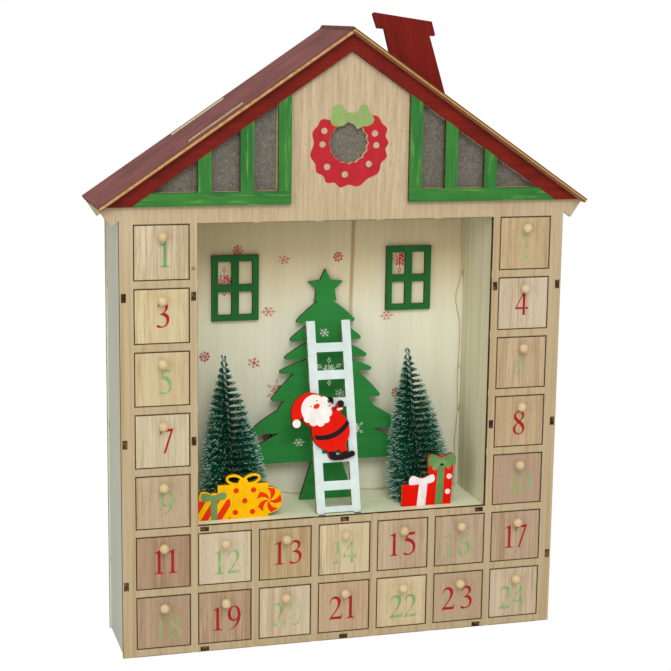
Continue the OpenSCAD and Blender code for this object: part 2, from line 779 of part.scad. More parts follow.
// Bottle-brush trees: a twisted six-sided wire of rings. In each row between two rings, every
// second of its faces gives half of itself to a strand, whose sides rise from that half's edges.
wire_sides = 6;
wire_twist = 17.5;
row_strands = wire_sides / 2;
row_rise = (brush_h - brush_bare) / brush_rows;
brush_curve = 1.5;
strand_clear = 0.6;
strand_tip_share = 0.4;
strand_rise_shares = [0, 0.42];
gift_top_share = 1.4;
gift_top_z = box_right_h * gift_top_share;

// How far a strand at height z and azimuth a reaches: by the tree's profile, but not into the
// gifts in front of it or the tree cut-out behind it
function front_room(z) = z < gift_top_z ? brush_y - gifts_y - ply - strand_clear : brush_r;
function rear_room(z) = brush_tree_in - strand_clear + z * tan(tree_lean);
function reach(z, a) =
    let (free = brush_r * (1 - pow(z / brush_h, brush_curve)), s = sin(a),
        room = s < 0 ? front_room(z) : rear_room(z))
    max(2 * wire_r, s == 0 ? free : min(free, room / abs(s)));

function ring_point(j, i) =
    let (a = 360 * i / wire_sides + j * wire_twist)
    [wire_r * cos(a), wire_r * sin(a), j == 0 ? 0 : brush_bare + (j - 1) * row_rise];
function ring_index(j, i) = j * wire_sides + i % wire_sides;

// The half face that strand m of row j starts from, and that half at the strand's tip
function root_points(j, m) =
    let (i = 2 * m + j % 2) [ring_point(j, i), ring_point(j, i + 1), ring_point(j + 1, i)];
function tip_points(j, m) =
    let (root = root_points(j, m), mid = (root[0] + root[1] + root[2]) / 3,
        a = atan2(mid[1], mid[0]), d = reach(mid[2], a),
        rise = strand_rise_shares[0] + mid[2] / brush_h * (strand_rise_shares[1] - strand_rise_shares[0]),
        tip = [d * cos(a), d * sin(a), mid[2] + rise * d])
    [for (p = root) tip + strand_tip_share * (p - mid)];

// The faces of one cell of the wire, of one strand and of the two ends, from outside
function cell_faces(j, i) =
    let (a = ring_index(j, i), b = ring_index(j, i + 1), c = ring_index(j + 1, i + 1),
        d = ring_index(j + 1, i), tip = (brush_rows + 2) * wire_sides
        + 3 * ((j - 1) * row_strands + (i - j % 2) / 2), r = [a, b, d])
    j == 0 || (i - j) % 2 != 0 ? [r, [b, c, d]] : concat([[b, c, d], [tip, tip + 1, tip + 2]],
        [for (k = [0:2]) each let (n = (k + 1) % 3)
            [[r[k], r[n], tip + n], [r[k], tip + n, tip + k]]]);
function end_faces() = [for (i = [1:wire_sides - 2])
    each [[0, i + 1, i], [for (k = [0, i, i + 1]) ring_index(brush_rows + 1, 0) + k]]];

module brush_tree(x, lean) {
    foot = wire_r * sin(lean) + glue_gap;
    points = concat(
        [for (j = [0:brush_rows + 1], i = [0:wire_sides - 1]) ring_point(j, i)],
        [for (j = [1:brush_rows], m = [0:row_strands - 1]) each tip_points(j, m)]);
    faces = concat(end_faces(),
        [for (j = [0:brush_rows], i = [0:wire_sides - 1]) each cell_faces(j, i)]);
    translate([x, front_y + brush_y, floor_z + foot]) rotate([0, -lean, 0])
        polyhedron(points, [for (f = faces) [f[2], f[1], f[0]]], convexity = 10);
}

module brush_tree_left() color("darkgreen")
    brush_tree(brush_left_in - niche_half_w, brush_left_lean);

module brush_tree_right() color("darkgreen")
    brush_tree(niche_half_w - brush_right_in, brush_right_lean);

// The light string's route on the rear wall, down its right corner and along its foot: x in
// shares of the niche's half width, z in shares of its height. A point with a light has the
// light's turn as its third value, in degrees.
string_shares = [
    [0.993, 1.01], [0.993, 0.95], [0.993, 0.886], [0.998, 0.833], [0.998, 0.772, 0],
    [0.983, 0.734], [0.963, 0.702], [0.96, 0.674], [0.974, 0.638], [0.992, 0.602], [0.998, 0.565],
    [0.996, 0.511], [0.992, 0.439, 0], [0.988, 0.392], [0.992, 0.33], [0.998, 0.282, 0],
    [0.992, 0.245], [0.987, 0.209], [0.978, 0.165], [0.984, 0.1, 0], [0.985, 0.03],
    [0.975, 0.014], [0.95, 0.008], [0.85, 0.007], [0.66, 0.009, 90], [0.5, 0.008], [0.45, 0.005],
    [0.37, 0.005], [0.29, 0.007], [0.1, 0.008, 90], [-0.17, 0.008], [-0.23, 0.009],
    [-0.28, 0.015], [-0.36, 0.013], [-0.45, 0.008, 90], [-0.6, 0.009]
];
string_sides = 8;

function string_at(i) = [string_shares[i][0] * niche_half_w,
    floor_z + string_shares[i][1] * (grid_top_z - floor_z)];
function string_ring(i) =
    let (n = len(string_shares), a = string_at(max(i - 1, 0)), b = string_at(min(i + 1, n - 1)),
        t = (b - a) / norm(b - a), p = string_at(i), r = string_d / 2)
    [for (k = [0:string_sides - 1]) let (w = 360 * k / string_sides)
        [p[0] - r * cos(w) * t[1], r * sin(w), p[1] + r * cos(w) * t[0]]];

// A wire with clear drops on it, glued to the rear wall
module light_string() color("peru") {
    n = len(string_shares);
    m = string_sides;
    translate([0, in_back_y - glue_gap - string_d / 2, 0]) polyhedron(
        [for (i = [0:n - 1]) each string_ring(i)],
        concat([for (k = [1:m - 2]) [0, k + 1, k]],
            [for (i = [0:n - 2], k = [0:m - 1]) each let (q = (k + 1) % m)
                [[i * m + k, i * m + q, i * m + m + q], [i * m + k, i * m + m + q, i * m + m + k]]],
            [for (k = [1:m - 2]) (n - 1) * m * [1, 1, 1] + [0, k, k + 1]]), convexity = 10);
    for (i = [0:n - 1])
        if (len(string_shares[i]) > 2)
            translate([string_at(i)[0], in_back_y - glue_gap - light_d / 2, string_at(i)[1]])
                rotate([0, string_shares[i][2], 0]) rotate_extrude()
                    polygon(arc([0, 0], [light_d / 2, light_l / 2], -90, 90, limb_step));
}

front_panel();
back_panel();
left_side();
right_side();
base_board();
niche_floor();
niche_left_wall();
niche_right_wall();
left_shelves();
right_shelves();
lower_shelf();
for (i = [1:cols - 1])
    lower_divider(i);
roof_left();
roof_right();
barge_board();
gable_frame_left();
gable_frame_right();
gable_film();
chimney();
tree_cutout();
ladder();
climbing_figure();
niche_window_left();
niche_window_right();
brush_tree_left();
brush_tree_right();
gifts_left();
gifts_right();
light_string();
for (n = [1:24])
    drawer(n);
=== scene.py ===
"""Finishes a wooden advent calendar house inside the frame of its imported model.

Lengths in the tables are millimetres in the model's frame: X to the right, Y to the back, Z up.
"""
import math
import random

import bpy
from mathutils import Euler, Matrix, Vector


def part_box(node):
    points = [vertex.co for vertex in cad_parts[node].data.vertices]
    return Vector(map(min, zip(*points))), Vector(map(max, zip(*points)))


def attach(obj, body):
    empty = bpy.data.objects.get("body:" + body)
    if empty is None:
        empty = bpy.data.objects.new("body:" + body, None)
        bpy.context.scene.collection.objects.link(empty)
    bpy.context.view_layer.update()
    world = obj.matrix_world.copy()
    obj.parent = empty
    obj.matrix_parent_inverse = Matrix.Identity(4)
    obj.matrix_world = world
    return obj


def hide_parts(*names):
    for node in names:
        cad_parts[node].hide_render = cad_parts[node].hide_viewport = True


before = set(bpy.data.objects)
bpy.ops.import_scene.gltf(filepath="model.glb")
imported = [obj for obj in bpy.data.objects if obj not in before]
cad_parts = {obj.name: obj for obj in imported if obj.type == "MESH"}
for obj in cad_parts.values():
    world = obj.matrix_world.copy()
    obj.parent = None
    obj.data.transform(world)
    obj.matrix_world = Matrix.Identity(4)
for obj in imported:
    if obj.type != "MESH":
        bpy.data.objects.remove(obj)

bl_info = {
    "name": "Advent Calendar House",
    "version": (1, 0, 0),
    "blender": (4, 5, 0),
    "location": "View3D > Sidebar > Advent House",
    "description": "Finishes, prints and bottle-brush trees of a wooden advent calendar",
    "category": "Object",
}

HOUSE = "house"
MM = 0.001


def box_mm(node):
    """A node's lowest and highest corners, in mm."""
    return [[round(c / MM, 3) for c in corner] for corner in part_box(node)]


# The panels' planes, the niche's floor and the roof, from the frame
FRONT_Y = box_mm("front_panel")[0][1]
INNER_Y, PEAK_Z = box_mm("front_panel")[1][1:]
REAR_Y = box_mm("back_panel")[0][1]
FLOOR_Z = box_mm("niche_floor")[1][2]
GIFTS_Y = box_mm("gifts_left")[0][1]
ROOF_SLOPE = math.radians(34.2)
PLY = INNER_Y - FRONT_Y
GLUE_GAP = 0.05

# Leaning boards: where their foot stands in depth, their lean in degrees, and their face's offset
TREE_PLANE = (18.75, 3.474, -3.0)
FIGURE_PLANE = (-19.25, 14.52, -6.05)
LADDER_X = -1.5

# How far a layer of paint stands off the board, half its own thickness, and the step between layers
LIFT = 0.05
HALF_LAYER = 0.02
LAYER_STEP = 0.04


def drawer_place(n):
    """The middle of a drawer's front and its lower edge, in mm."""
    low, high = box_mm(f"drawer_{n}")
    return (low[0] + high[0]) / 2, low[2]


# The drawers' grid, from three neighbours of the two bottom rows
COL_PITCH = round(drawer_place(12)[0] - drawer_place(11)[0], 3)
ROW_PITCH = round(drawer_place(11)[1] - drawer_place(18)[1], 3)
DRAWER_W, DRAWER_H = [round(high - low, 3) for low, high in zip(*box_mm("drawer_18"))][::2]


# Nodes and materials

def srgb(r, g, b):
    """A colour from 0 to 255 as Blender's linear colour."""
    def one(c):
        c /= 255
        return c / 12.92 if c <= 0.04045 else ((c + 0.055) / 1.055) ** 2.4
    return (one(r), one(g), one(b), 1.0)


class Look:
    """A procedural material, made node by node."""

    def __init__(self, name, rough=0.6, spec=0.15):
        self.mat = bpy.data.materials.new(name)
        self.mat.use_nodes = True
        self.tree = self.mat.node_tree
        self.tree.nodes.clear()
        out = self.put("ShaderNodeOutputMaterial")
        self.bsdf = self.put("ShaderNodeBsdfPrincipled",
                             {"Roughness": rough, "Specular IOR Level": spec})
        self.tree.links.new(self.bsdf.outputs[0], out.inputs["Surface"])
        self.xyz = self.put("ShaderNodeTexCoord").outputs["Object"]
        self.x, self.y, self.z = self.put("ShaderNodeSeparateXYZ", {"Vector": self.xyz}).outputs[:]

    def put(self, kind, values=None, **settings):
        node = self.tree.nodes.new(kind)
        for key, value in settings.items():
            setattr(node, key, value)
        for key, value in (values or {}).items():
            self.give(node.inputs[key], value)
        return node

    def give(self, socket, value):
        if isinstance(value, bpy.types.NodeSocket):
            self.tree.links.new(value, socket)
        else:
            socket.default_value = value

    def math(self, kind, a, b=0.0, c=0.0, clamp=False):
        node = self.put("ShaderNodeMath", operation=kind, use_clamp=clamp)
        for socket, value in zip(node.inputs, (a, b, c)):
            self.give(socket, value)
        return node.outputs[0]

    def step(self, value, low, high, a=0.0, b=1.0):
        """From a at low to b at high."""
        return self.put("ShaderNodeMapRange", {"Value": value, "From Min": low, "From Max": high,
                                               "To Min": a, "To Max": b}).outputs[0]

    def mix(self, fac, a, b, kind="MIX"):
        node = self.put("ShaderNodeMix", data_type="RGBA", blend_type=kind)
        for socket, value in zip((node.inputs[0], node.inputs[6], node.inputs[7]), (fac, a, b)):
            self.give(socket, value)
        return node.outputs[2]

    def noise(self, scale, shift=0.0, detail=2.0, rough=0.5, turn=0.0):
        """Noise with its own scale per metre along each axis; turn is about Y, in degrees."""
        vector = self.xyz
        if turn:
            vector = self.put("ShaderNodeMapping",
                              {"Vector": vector, "Rotation": (0, math.radians(turn), 0)}).outputs[0]
        vector = self.put("ShaderNodeMapping", {"Vector": vector, "Scale": scale,
                                                "Location": (shift, shift, shift)}).outputs[0]
        return self.put("ShaderNodeTexNoise", {"Vector": vector, "Scale": 1.0, "Detail": detail,
                                               "Roughness": rough}).outputs["Fac"]

    def colour(self, socket):
        self.give(self.bsdf.inputs["Base Color"], socket)

    def bump(self, height, depth):
        """height from 0 to 1 raises the surface by up to depth metres."""
        node = self.put("ShaderNodeBump", {"Height": height, "Distance": depth, "Strength": 1.0})
        self.tree.links.new(node.outputs[0], self.bsdf.inputs["Normal"])


def along(axis, across, length):
    """Noise scales for grain that runs along an axis: across it and along it, per metre."""
    return tuple(length if a == axis else across for a in "xyz")


def veneer(name, light, dark, axis="z", turn=0.0, seed=0.0, amount=1.0, rough=0.62, pores=0.5,
           tint=None):
    """Wood veneer with its grain along one axis. Returns the look and its colour."""
    look = Look(name, rough)
    fine = look.noise(along(axis, 1100, 40), seed, 3, 0.65, turn)
    streak = look.noise(along(axis, 250, 7), seed + 3, 4, 0.6, turn)
    broad = look.noise(along(axis, 45, 3), seed + 7, 2, 0.5, turn)
    mixed = look.math("MULTIPLY_ADD", fine, 0.42, look.math(
        "MULTIPLY_ADD", streak, 0.38, look.math("MULTIPLY", broad, 0.2)))
    fac = look.step(mixed, 0.5 - 0.16 / amount, 0.5 + 0.14 / amount)
    colour = look.mix(fac, srgb(*dark), srgb(*light))
    if tint:
        colour = look.mix(look.step(broad, 0.42, 0.6, 0, 0.5), colour, srgb(*tint))
    dots = look.noise(along(axis, 2600, 260), seed + 11, 1, 0.5, turn)
    fleck = look.step(dots, 0.66, 0.75, 0, pores)
    colour = look.mix(fleck, colour, srgb(*[c * 0.6 for c in dark]))
    look.colour(colour)
    look.bump(look.math("SUBTRACT", mixed, fleck), 0.00006)
    return look, colour


def stain(name, light, dark, axis="z", turn=0.0, seed=0.0, rough=0.5, brush=0.6, edge=None,
          upright=None, length=22):
    """Thin paint brushed over wood, so that the grain and the strokes show.

    Above the height upright, in mm, the grain stands up.
    """
    look = Look(name, rough, 0.15)

    def run(across, length, shift):
        lying = look.noise(along(axis, across, length), shift, 3, 0.6, turn)
        if upright is None:
            return lying
        standing = look.noise(along("z", across, length), shift + 1, 3, 0.6)
        return look.mix(look.math("GREATER_THAN", look.z, upright * MM), lying, standing)
    grain = run(900, length, seed)
    stroke = run(140, 0.7 * length, seed + 5)
    patch = look.noise((38, 38, 38), seed + 9, 2)
    mixed = look.math("MULTIPLY_ADD", grain, 0.4, look.math(
        "MULTIPLY_ADD", stroke, 0.35, look.math("MULTIPLY", patch, 0.25)))
    colour = look.mix(look.step(mixed, 0.5 - 0.12 / brush * 0.6, 0.5 + 0.11 / brush * 0.6),
                      srgb(*dark), srgb(*light))
    if edge:
        colour = look.mix(look.step(run(420, 30, seed + 13), 0.56, 0.68, 0, 0.65), colour, srgb(*edge))
    look.colour(colour)
    look.bump(mixed, 0.00005)
    return look, colour


def cut_edge(name, light, dark, across="y", start=0.0, burn=0.5, seed=0.0):
    """The laser-cut edge of a plywood board: three layers, browned in dashes."""
    look = Look(name, 0.75, 0.15)
    place = {"y": look.y, "z": look.z}[across]
    place = look.math("DIVIDE", look.math("SUBTRACT", place, start * MM), PLY * MM)
    inner = look.math("MULTIPLY", look.step(place, 0.27, 0.35), look.step(place, 0.73, 0.65))
    dash = look.noise((260, 260, 260), seed, 3, 0.7)
    fine = look.noise((1500, 1500, 1500), seed + 3, 2)
    fac = look.math("MULTIPLY_ADD", inner, 0.42, look.step(dash, 0.62 - burn * 0.4, 0.82 - burn * 0.4),
                    clamp=True)
    fac = look.math("MULTIPLY_ADD", look.math("SUBTRACT", fine, 0.5), 0.5, fac, clamp=True)
    look.colour(look.mix(fac, srgb(*light), srgb(*dark)))
    look.bump(fine, 0.00005)
    return look.mat


def slope_place(look):
    """0 at the underside of a roof board and 1 at its top."""
    rise = look.math("MULTIPLY_ADD", look.math("ABSOLUTE", look.x), math.tan(ROOF_SLOPE), look.z)
    return look.math("MULTIPLY", look.math("SUBTRACT", rise, PEAK_Z * MM), math.cos(ROOF_SLOPE) / (PLY * MM))


def roof_edge(name, core, line=None, seed=0.0):
    """A roof board's cut edge: a bright core between two darker bands at its faces."""
    look = Look(name, 0.7, 0.15)
    place = slope_place(look)
    dash = look.noise((300, 300, 300), seed, 3, 0.6)
    fine = look.noise((1500, 1500, 1500), seed + 3, 2)
    tone = look.mix(look.step(look.math("MULTIPLY_ADD", fine, 0.4, look.math("MULTIPLY", dash, 0.6)),
                              0.4, 0.62), srgb(*core), srgb(*[c * 0.78 for c in core]))
    if line:
        off = look.math("ABSOLUTE", look.math("SUBTRACT", place, 0.55))
        tone = look.mix(look.step(off, 0.17, 0.07, 0, 0.9), tone, srgb(*line))
    inside = look.math("MULTIPLY", look.step(place, 0.14, 0.26), look.step(place, 0.84, 0.7))
    look.colour(look.mix(inside, srgb(92, 56, 38), tone))
    look.bump(fine, 0.00004)
    return look.mat


def panel_wood():
    """The front board: pale at the gable, yellower between the drawers."""
    look, colour = veneer("panel_plywood", (204, 187, 159), (168, 144, 115), seed=1.3, amount=1.2)
    pale_z, warm_z, header_z, streak_z = 0.345, 0.26, 0.315, 0.29
    low = look.step(look.z, pale_z, warm_z)
    warm = look.mix(look.noise(along("z", 500, 12), 4.2), srgb(170, 151, 118), srgb(194, 179, 148))
    colour = look.mix(look.math("MULTIPLY", low, 0.8), colour, warm)
    streak = look.step(look.noise(along("z", 330, 5), 8.8, 3), 0.52, 0.66, 0, 0.55)
    colour = look.mix(look.math("MULTIPLY", streak, look.step(look.z, header_z, streak_z)), colour,
                      srgb(170, 136, 92))
    knot_x, knot_z, knot_rim, knot_core = -0.1092, 0.2735, 0.0018, 0.0007
    off_x, off_z = look.math("SUBTRACT", look.x, knot_x), look.math("SUBTRACT", look.z, knot_z)
    knot = look.math("SQRT", look.math("ADD", look.math("POWER", off_x, 2.0),
                                       look.math("POWER", off_z, 2.0)))
    colour = look.mix(look.step(knot, knot_rim, knot_core, 0, 0.75), colour, srgb(120, 84, 50))

    # The laser's brown rim round the drawer openings, with painted shade of the gaps round the drawers that
    # makes it wider at their right and upper edges
    def past_opening(axis, middle, pitch, half):
        cell = look.math("DIVIDE", look.math("SUBTRACT", axis, (middle - pitch / 2) * MM), pitch * MM)
        cell = look.math("SUBTRACT", look.math("FRACT", cell), 0.5)
        past = look.math("MULTIPLY", look.math("ABSOLUTE", cell), pitch * MM)
        past = look.math("SUBTRACT", past, half * MM)
        return look.math("MULTIPLY", past, look.step(cell, -0.1, 0.1, 1.8, 1.0))
    half_w, half_h, opening_z = 19.0, 18.85, 24.55
    rim = look.math("MAXIMUM", past_opening(look.x, 0.0, COL_PITCH, half_w),
                    past_opening(look.z, opening_z, ROW_PITCH, half_h))
    grid_top, grid_half = 0.3045, 0.1505
    grid = look.math("MULTIPLY", look.math("LESS_THAN", look.z, grid_top),
                     look.math("LESS_THAN", look.math("ABSOLUTE", look.x), grid_half))
    # One dark rim for the laser's browning and the gaps' painted shade
    burn = look.math("MULTIPLY", look.step(rim, 0.0007, 0.0001, 0.0, 0.85), grid)
    colour = look.mix(burn, colour, srgb(54, 33, 10))
    look.colour(colour)
    return look.mat


def niche_wood(name, seed, light, dark, axis="z", streak_at=None, deep=False):
    """The scene's thin pale wash over wood, with an optional brown streak in the veneer and, with it,
    painted shade towards the header.
    """
    look, colour = veneer(name, light, dark, axis, seed=seed, amount=0.7, pores=0.1,
                          tint=[0.97 * c for c in dark])
    if deep:
        band = look.noise(along("z", 190, 3), seed + 17, 2)
        colour = look.mix(look.step(band, 0.5, 0.66, 0, 0.27), colour, srgb(178, 162, 122))
    if streak_at is not None:
        # Painted shade: the wall darkens towards the header, which shades it, and the streak is plain only
        # high up
        header_shade_from, header_shade_to, streak_from, streak_to = 0.222, 0.27, 0.19, 0.25
        shade = look.step(look.z, header_shade_from, header_shade_to)
        colour = look.mix(shade, colour, srgb(245, 230, 206), "MULTIPLY")
        wave = look.math("MULTIPLY", look.math("SUBTRACT", look.noise((5, 5, 16), 2.0), 0.5), 0.008)
        gap = look.math("SUBTRACT", look.math("SUBTRACT", look.x, streak_at * MM), wave)
        gap = look.math("ABSOLUTE", gap)
        rim, core = 0.0021, 0.0007
        tall = look.math("MULTIPLY", look.step(look.z, streak_from, streak_to), look.step(gap, rim, core))
        colour = look.mix(look.math("MULTIPLY", tall, 0.8), colour, srgb(172, 138, 90))
    look.colour(colour)
    return look.mat


def film_look():
    """Grey felt-like film with sparse glitter, its flecks painted light to stand in for their glints."""
    look = Look("film", 0.55, 0.4)
    speck = look.noise((1500, 1500, 1500), 3.0, 2)
    cloud = look.noise((300, 300, 300), 1.0, 3)
    colour = look.mix(look.step(look.math("MULTIPLY_ADD", speck, 0.7, look.math("MULTIPLY", cloud, 0.3)),
                                0.35, 0.65), srgb(74, 70, 64), srgb(122, 118, 108))
    cells = look.put("ShaderNodeTexVoronoi", {"Vector": look.xyz, "Scale": 1500.0})
    pick = look.put("ShaderNodeSeparateColor", {"Color": cells.outputs["Color"]}).outputs[0]
    # Glitter flecks, smoother, and painted lighter as their glints
    glitter_and_glint = look.math("MULTIPLY", look.math("GREATER_THAN", pick, 0.8),
                      look.math("LESS_THAN", cells.outputs["Distance"], 0.3))
    look.colour(look.mix(look.math("MULTIPLY", glitter_and_glint, 0.5), colour, srgb(222, 218, 206)))
    look.give(look.bsdf.inputs["Roughness"], look.step(glitter_and_glint, 0, 1, 0.55, 0.25))
    look.bump(speck, 0.00012)
    return look.mat


def paint(name, colour, wear=None, fade=0.0, seed=0.0, rough=0.5, axis="z", even=0.0):
    """Printed or brushed paint. Where it is worn, the colour under it shows along the grain."""
    look = Look(name, rough, 0.08)
    r, g, b = colour
    cloud = look.noise((160, 160, 160), seed, 3)
    grain = look.noise(along(axis, 1300, 60), seed + 2, 2)
    low = 0.93 + 0.05 * even
    tone = look.mix(look.step(cloud, 0.35, 0.65), srgb(r * low, g * low, b * low), srgb(*colour))
    shade = look.step(grain, 0.45, 0.75, 0, 0.14 * (1 - even))
    tone = look.mix(shade, tone, srgb(r * 0.7, g * 0.7, b * 0.7))
    if wear:
        thin = look.math("MULTIPLY_ADD", look.noise(along(axis, 1600, 90), seed + 5, 2), 0.45,
                         look.math("MULTIPLY", look.noise((230, 230, 110), seed + 8, 2), 0.55))
        tone = look.mix(look.step(thin, 0.62 - 0.3 * fade, 0.8 - 0.3 * fade, 0, 0.35 + 0.6 * fade),
                        tone, srgb(*wear))
    look.colour(tone)
    look.bump(grain, 0.00002)
    return look.mat


# Shapes

def on_wall(y):
    """Maps a shape's (x, z) in mm to a wall that faces the front, lifted towards the viewer."""
    return lambda u, v, lift: Vector((u, y - lift, v)) * MM


def on_plane(plane):
    """The same for a board that leans back on the niche floor; v runs up the board."""
    back, lean, face = plane
    c, s = math.cos(math.radians(lean)), math.sin(math.radians(lean))

    def place(u, v, lift):
        y, z = face - lift, v
        return Vector((u, back + y * c + z * s, FLOOR_Z + GLUE_GAP - y * s + z * c)) * MM
    return place


def add_object(name, mesh, material, body=HOUSE):
    mesh.name = name
    mesh.materials.clear()
    mesh.materials.append(material)
    obj = bpy.data.objects.new(name, mesh)
    bpy.context.scene.collection.objects.link(obj)
    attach(obj, body)
    return obj


def flat(name, loops, place, material, body=HOUSE, lift=LIFT):
    """A thin layer of paint: closed loops in mm, one inside another cuts a hole."""
    curve = bpy.data.curves.new(name, "CURVE")
    curve.dimensions = "2D"
    curve.fill_mode = "BOTH"
    curve.extrude = HALF_LAYER
    for loop in loops:
        spline = curve.splines.new("POLY")
        spline.points.add(len(loop) - 1)
        for point, (u, v) in zip(spline.points, loop):
            point.co = (u, v, 0, 1)
        spline.use_cyclic_u = True
    holder = bpy.data.objects.new(name, curve)
    bpy.context.scene.collection.objects.link(holder)
    mesh = bpy.data.meshes.new_from_object(
        holder.evaluated_get(bpy.context.evaluated_depsgraph_get()))
    bpy.data.objects.remove(holder)
    bpy.data.curves.remove(curve)
    for vertex in mesh.vertices:
        u, v, w = vertex.co
        vertex.co = place(u, v, lift + w)
    for polygon in mesh.polygons:
        polygon.use_smooth = False
    obj = add_object(name, mesh, material, body)
    return obj


def ring(cx, cy, rx, ry=None, count=32, turn=0.0):
    """An ellipse as a loop."""
    ry = rx if ry is None else ry
    c, s = math.cos(math.radians(turn)), math.sin(math.radians(turn))
    points = []
    for i in range(count):
        a = 2 * math.pi * i / count
        x, y = rx * math.cos(a), ry * math.sin(a)
        points.append((cx + x * c - y * s, cy + x * s + y * c))
    return points


def wavy(cx, cy, radius, lobes, depth, count=180):
    """A round loop with lobes."""
    points = []
    for i in range(count):
        a = 2 * math.pi * i / count
        r = radius * (1 + depth * math.cos(lobes * a))
        points.append((cx + r * math.cos(a), cy + r * math.sin(a)))
    return points


def path(text, steps=7):
    """Closed loops from moves, lines and cubic curves: M x y, L x y, C x y x y x y, Z.

    A curve gets as many points as steps says.
    """
    loops, loop = [], []
    words = text.split()
    i, at = 0, (0.0, 0.0)
    while i < len(words):
        word = words[i]
        count = {"M": 2, "L": 2, "C": 6, "Z": 0}[word]
        v = [float(w) for w in words[i + 1:i + 1 + count]]
        i += 1 + count
        if word == "Z":
            loops.append(loop)
        elif word in "ML":
            loop = [] if word == "M" else loop
            at = (v[0], v[1])
            loop.append(at)
        else:
            p = [at, (v[0], v[1]), (v[2], v[3]), (v[4], v[5])]
            for k in range(1, steps + 1):
                t = k / steps
                w = [(1 - t) ** 3, 3 * t * (1 - t) ** 2, 3 * t * t * (1 - t), t ** 3]
                loop.append(tuple(sum(a * q[j] for a, q in zip(w, p)) for j in (0, 1)))
            at = p[3]
    return loops


def moved(loops, dx, dy, scale=1.0):
    return [[(dx + scale * u, dy + scale * v) for u, v in loop] for loop in loops]


def band(a, b, width, bow=0.0, count=12):
    """A strip between two points, bowed sideways in its middle."""
    (ax, ay), (bx, by) = a, b
    length = math.hypot(bx - ax, by - ay)
    nx, ny = (ay - by) / length, (bx - ax) / length
    side = [[], []]
    for i in range(count + 1):
        t = i / count
        push = bow * 4 * t * (1 - t)
        for k, sign in enumerate((-1, 1)):
            off = push + sign * width / 2
            side[k].append((ax + (bx - ax) * t + nx * off, ay + (by - ay) * t + ny * off))
    return side[0] + side[1][::-1]


# Numbers

# Serif digits one unit tall, drawn for this model
DIGITS = {
    "0": "M .04 .49 C .04 .82 .15 1 .31 1 C .47 1 .58 .82 .58 .49 C .58 .17 .47 -.015 .31 -.015"
         " C .15 -.015 .04 .17 .04 .49 Z M .155 .49 C .155 .2 .21 .03 .31 .03 C .41 .03 .465 .2"
         " .465 .49 C .465 .79 .41 .955 .31 .955 C .21 .955 .155 .79 .155 .49 Z",
    "1": "M .12 0 L .5 0 L .5 .03 C .41 .035 .37 .055 .37 .12 L .37 1 L .35 1 L .11 .88 L .11 .855"
         " C .2 .89 .25 .885 .25 .8 L .25 .12 C .25 .055 .21 .035 .12 .03 Z",
    "2": "M .045 .72 C .085 .9 .17 1 .3 1 C .44 1 .535 .9 .535 .765 C .535 .6 .42 .44 .175 .115"
         " L .455 .115 C .54 .115 .555 .14 .59 .215 L .615 .205 L .56 0 L .03 0 L .03 .025"
         " C .27 .3 .405 .5 .405 .69 C .405 .82 .34 .895 .245 .895 C .16 .895 .105 .83 .075 .715 Z",
    "3": "M .07 .8 C .12 .93 .19 1 .3 1 C .42 1 .5 .93 .5 .82 C .5 .72 .44 .64 .345 .585"
         " C .48 .54 .55 .45 .55 .32 C .55 .12 .4 -.015 .19 -.015 C .1 -.015 .04 .01 .04 .055"
         " C .04 .085 .065 .105 .095 .105 C .14 .105 .18 .045 .26 .045 C .37 .045 .435 .13 .435 .25"
         " C .435 .39 .35 .475 .175 .5 L .175 .525 C .29 .56 .385 .63 .385 .75 C .385 .85 .33 .91"
         " .25 .91 C .18 .91 .13 .87 .095 .785 Z",
    "4": "M .59 .25 L .59 .33 L .46 .33 L .46 1 L .4 1 L .03 .32 L .03 .25 L .35 .25 L .35 0"
         " L .46 0 L .46 .25 Z M .35 .33 L .35 .82 L .08 .33 Z",
    "5": "M .2 .985 L .5 .985 L .555 1.01 L .5 .865 L .225 .865 L .19 .745 C .42 .71 .55 .57"
         " .55 .36 C .55 .13 .4 -.015 .2 -.015 C .1 -.015 .035 .015 .035 .06 C .035 .09 .06 .11"
         " .09 .11 C .14 .11 .17 .045 .245 .045 C .36 .045 .44 .15 .44 .3 C .44 .48 .32 .58"
         " .085 .61 Z",
    "6": "M .52 1 L .525 .985 C .35 .95 .22 .8 .185 .575 C .24 .62 .29 .635 .345 .635 C .49 .635"
         " .585 .52 .585 .335 C .585 .13 .47 -.015 .31 -.015 C .14 -.015 .045 .14 .045 .37"
         " C .045 .72 .23 .96 .52 1 Z M .175 .42 C .175 .5 .24 .565 .3 .565 C .4 .565 .455 .46"
         " .455 .28 C .455 .12 .4 .03 .32 .03 C .22 .03 .175 .17 .175 .42 Z",
    "7": "M .095 .985 L .575 .985 L .575 .955 L .27 -.01 L .185 -.01 L .465 .87 L .21 .87"
         " C .125 .87 .105 .84 .06 .75 L .035 .76 Z",
    "8": "M .3 1 C .44 1 .53 .925 .53 .805 C .53 .7 .45 .63 .37 .575 C .5 .475 .56 .4 .56 .265"
         " C .56 .1 .45 -.015 .295 -.015 C .14 -.015 .045 .085 .045 .225 C .045 .345 .12 .42"
         " .235 .5 C .13 .59 .065 .66 .065 .775 C .065 .905 .165 1 .3 1 Z M .295 .955 C .21 .955"
         " .17 .895 .17 .825 C .17 .745 .23 .68 .335 .605 C .41 .665 .435 .725 .435 .8 C .435 .895"
         " .38 .955 .295 .955 Z M .27 .47 C .19 .4 .155 .335 .155 .24 C .155 .115 .21 .035 .31 .035"
         " C .395 .035 .45 .095 .45 .185 C .45 .3 .38 .375 .27 .47 Z",
}
# Where the middle of a digit's box, or of the stem of a 1, lies. A 9 is a 6 turned round in its box.
DIGIT_MIDDLE = {"7": 0.305}
MOST_MIDDLES = 0.31
SIX_BOX = (0.63, 0.985)

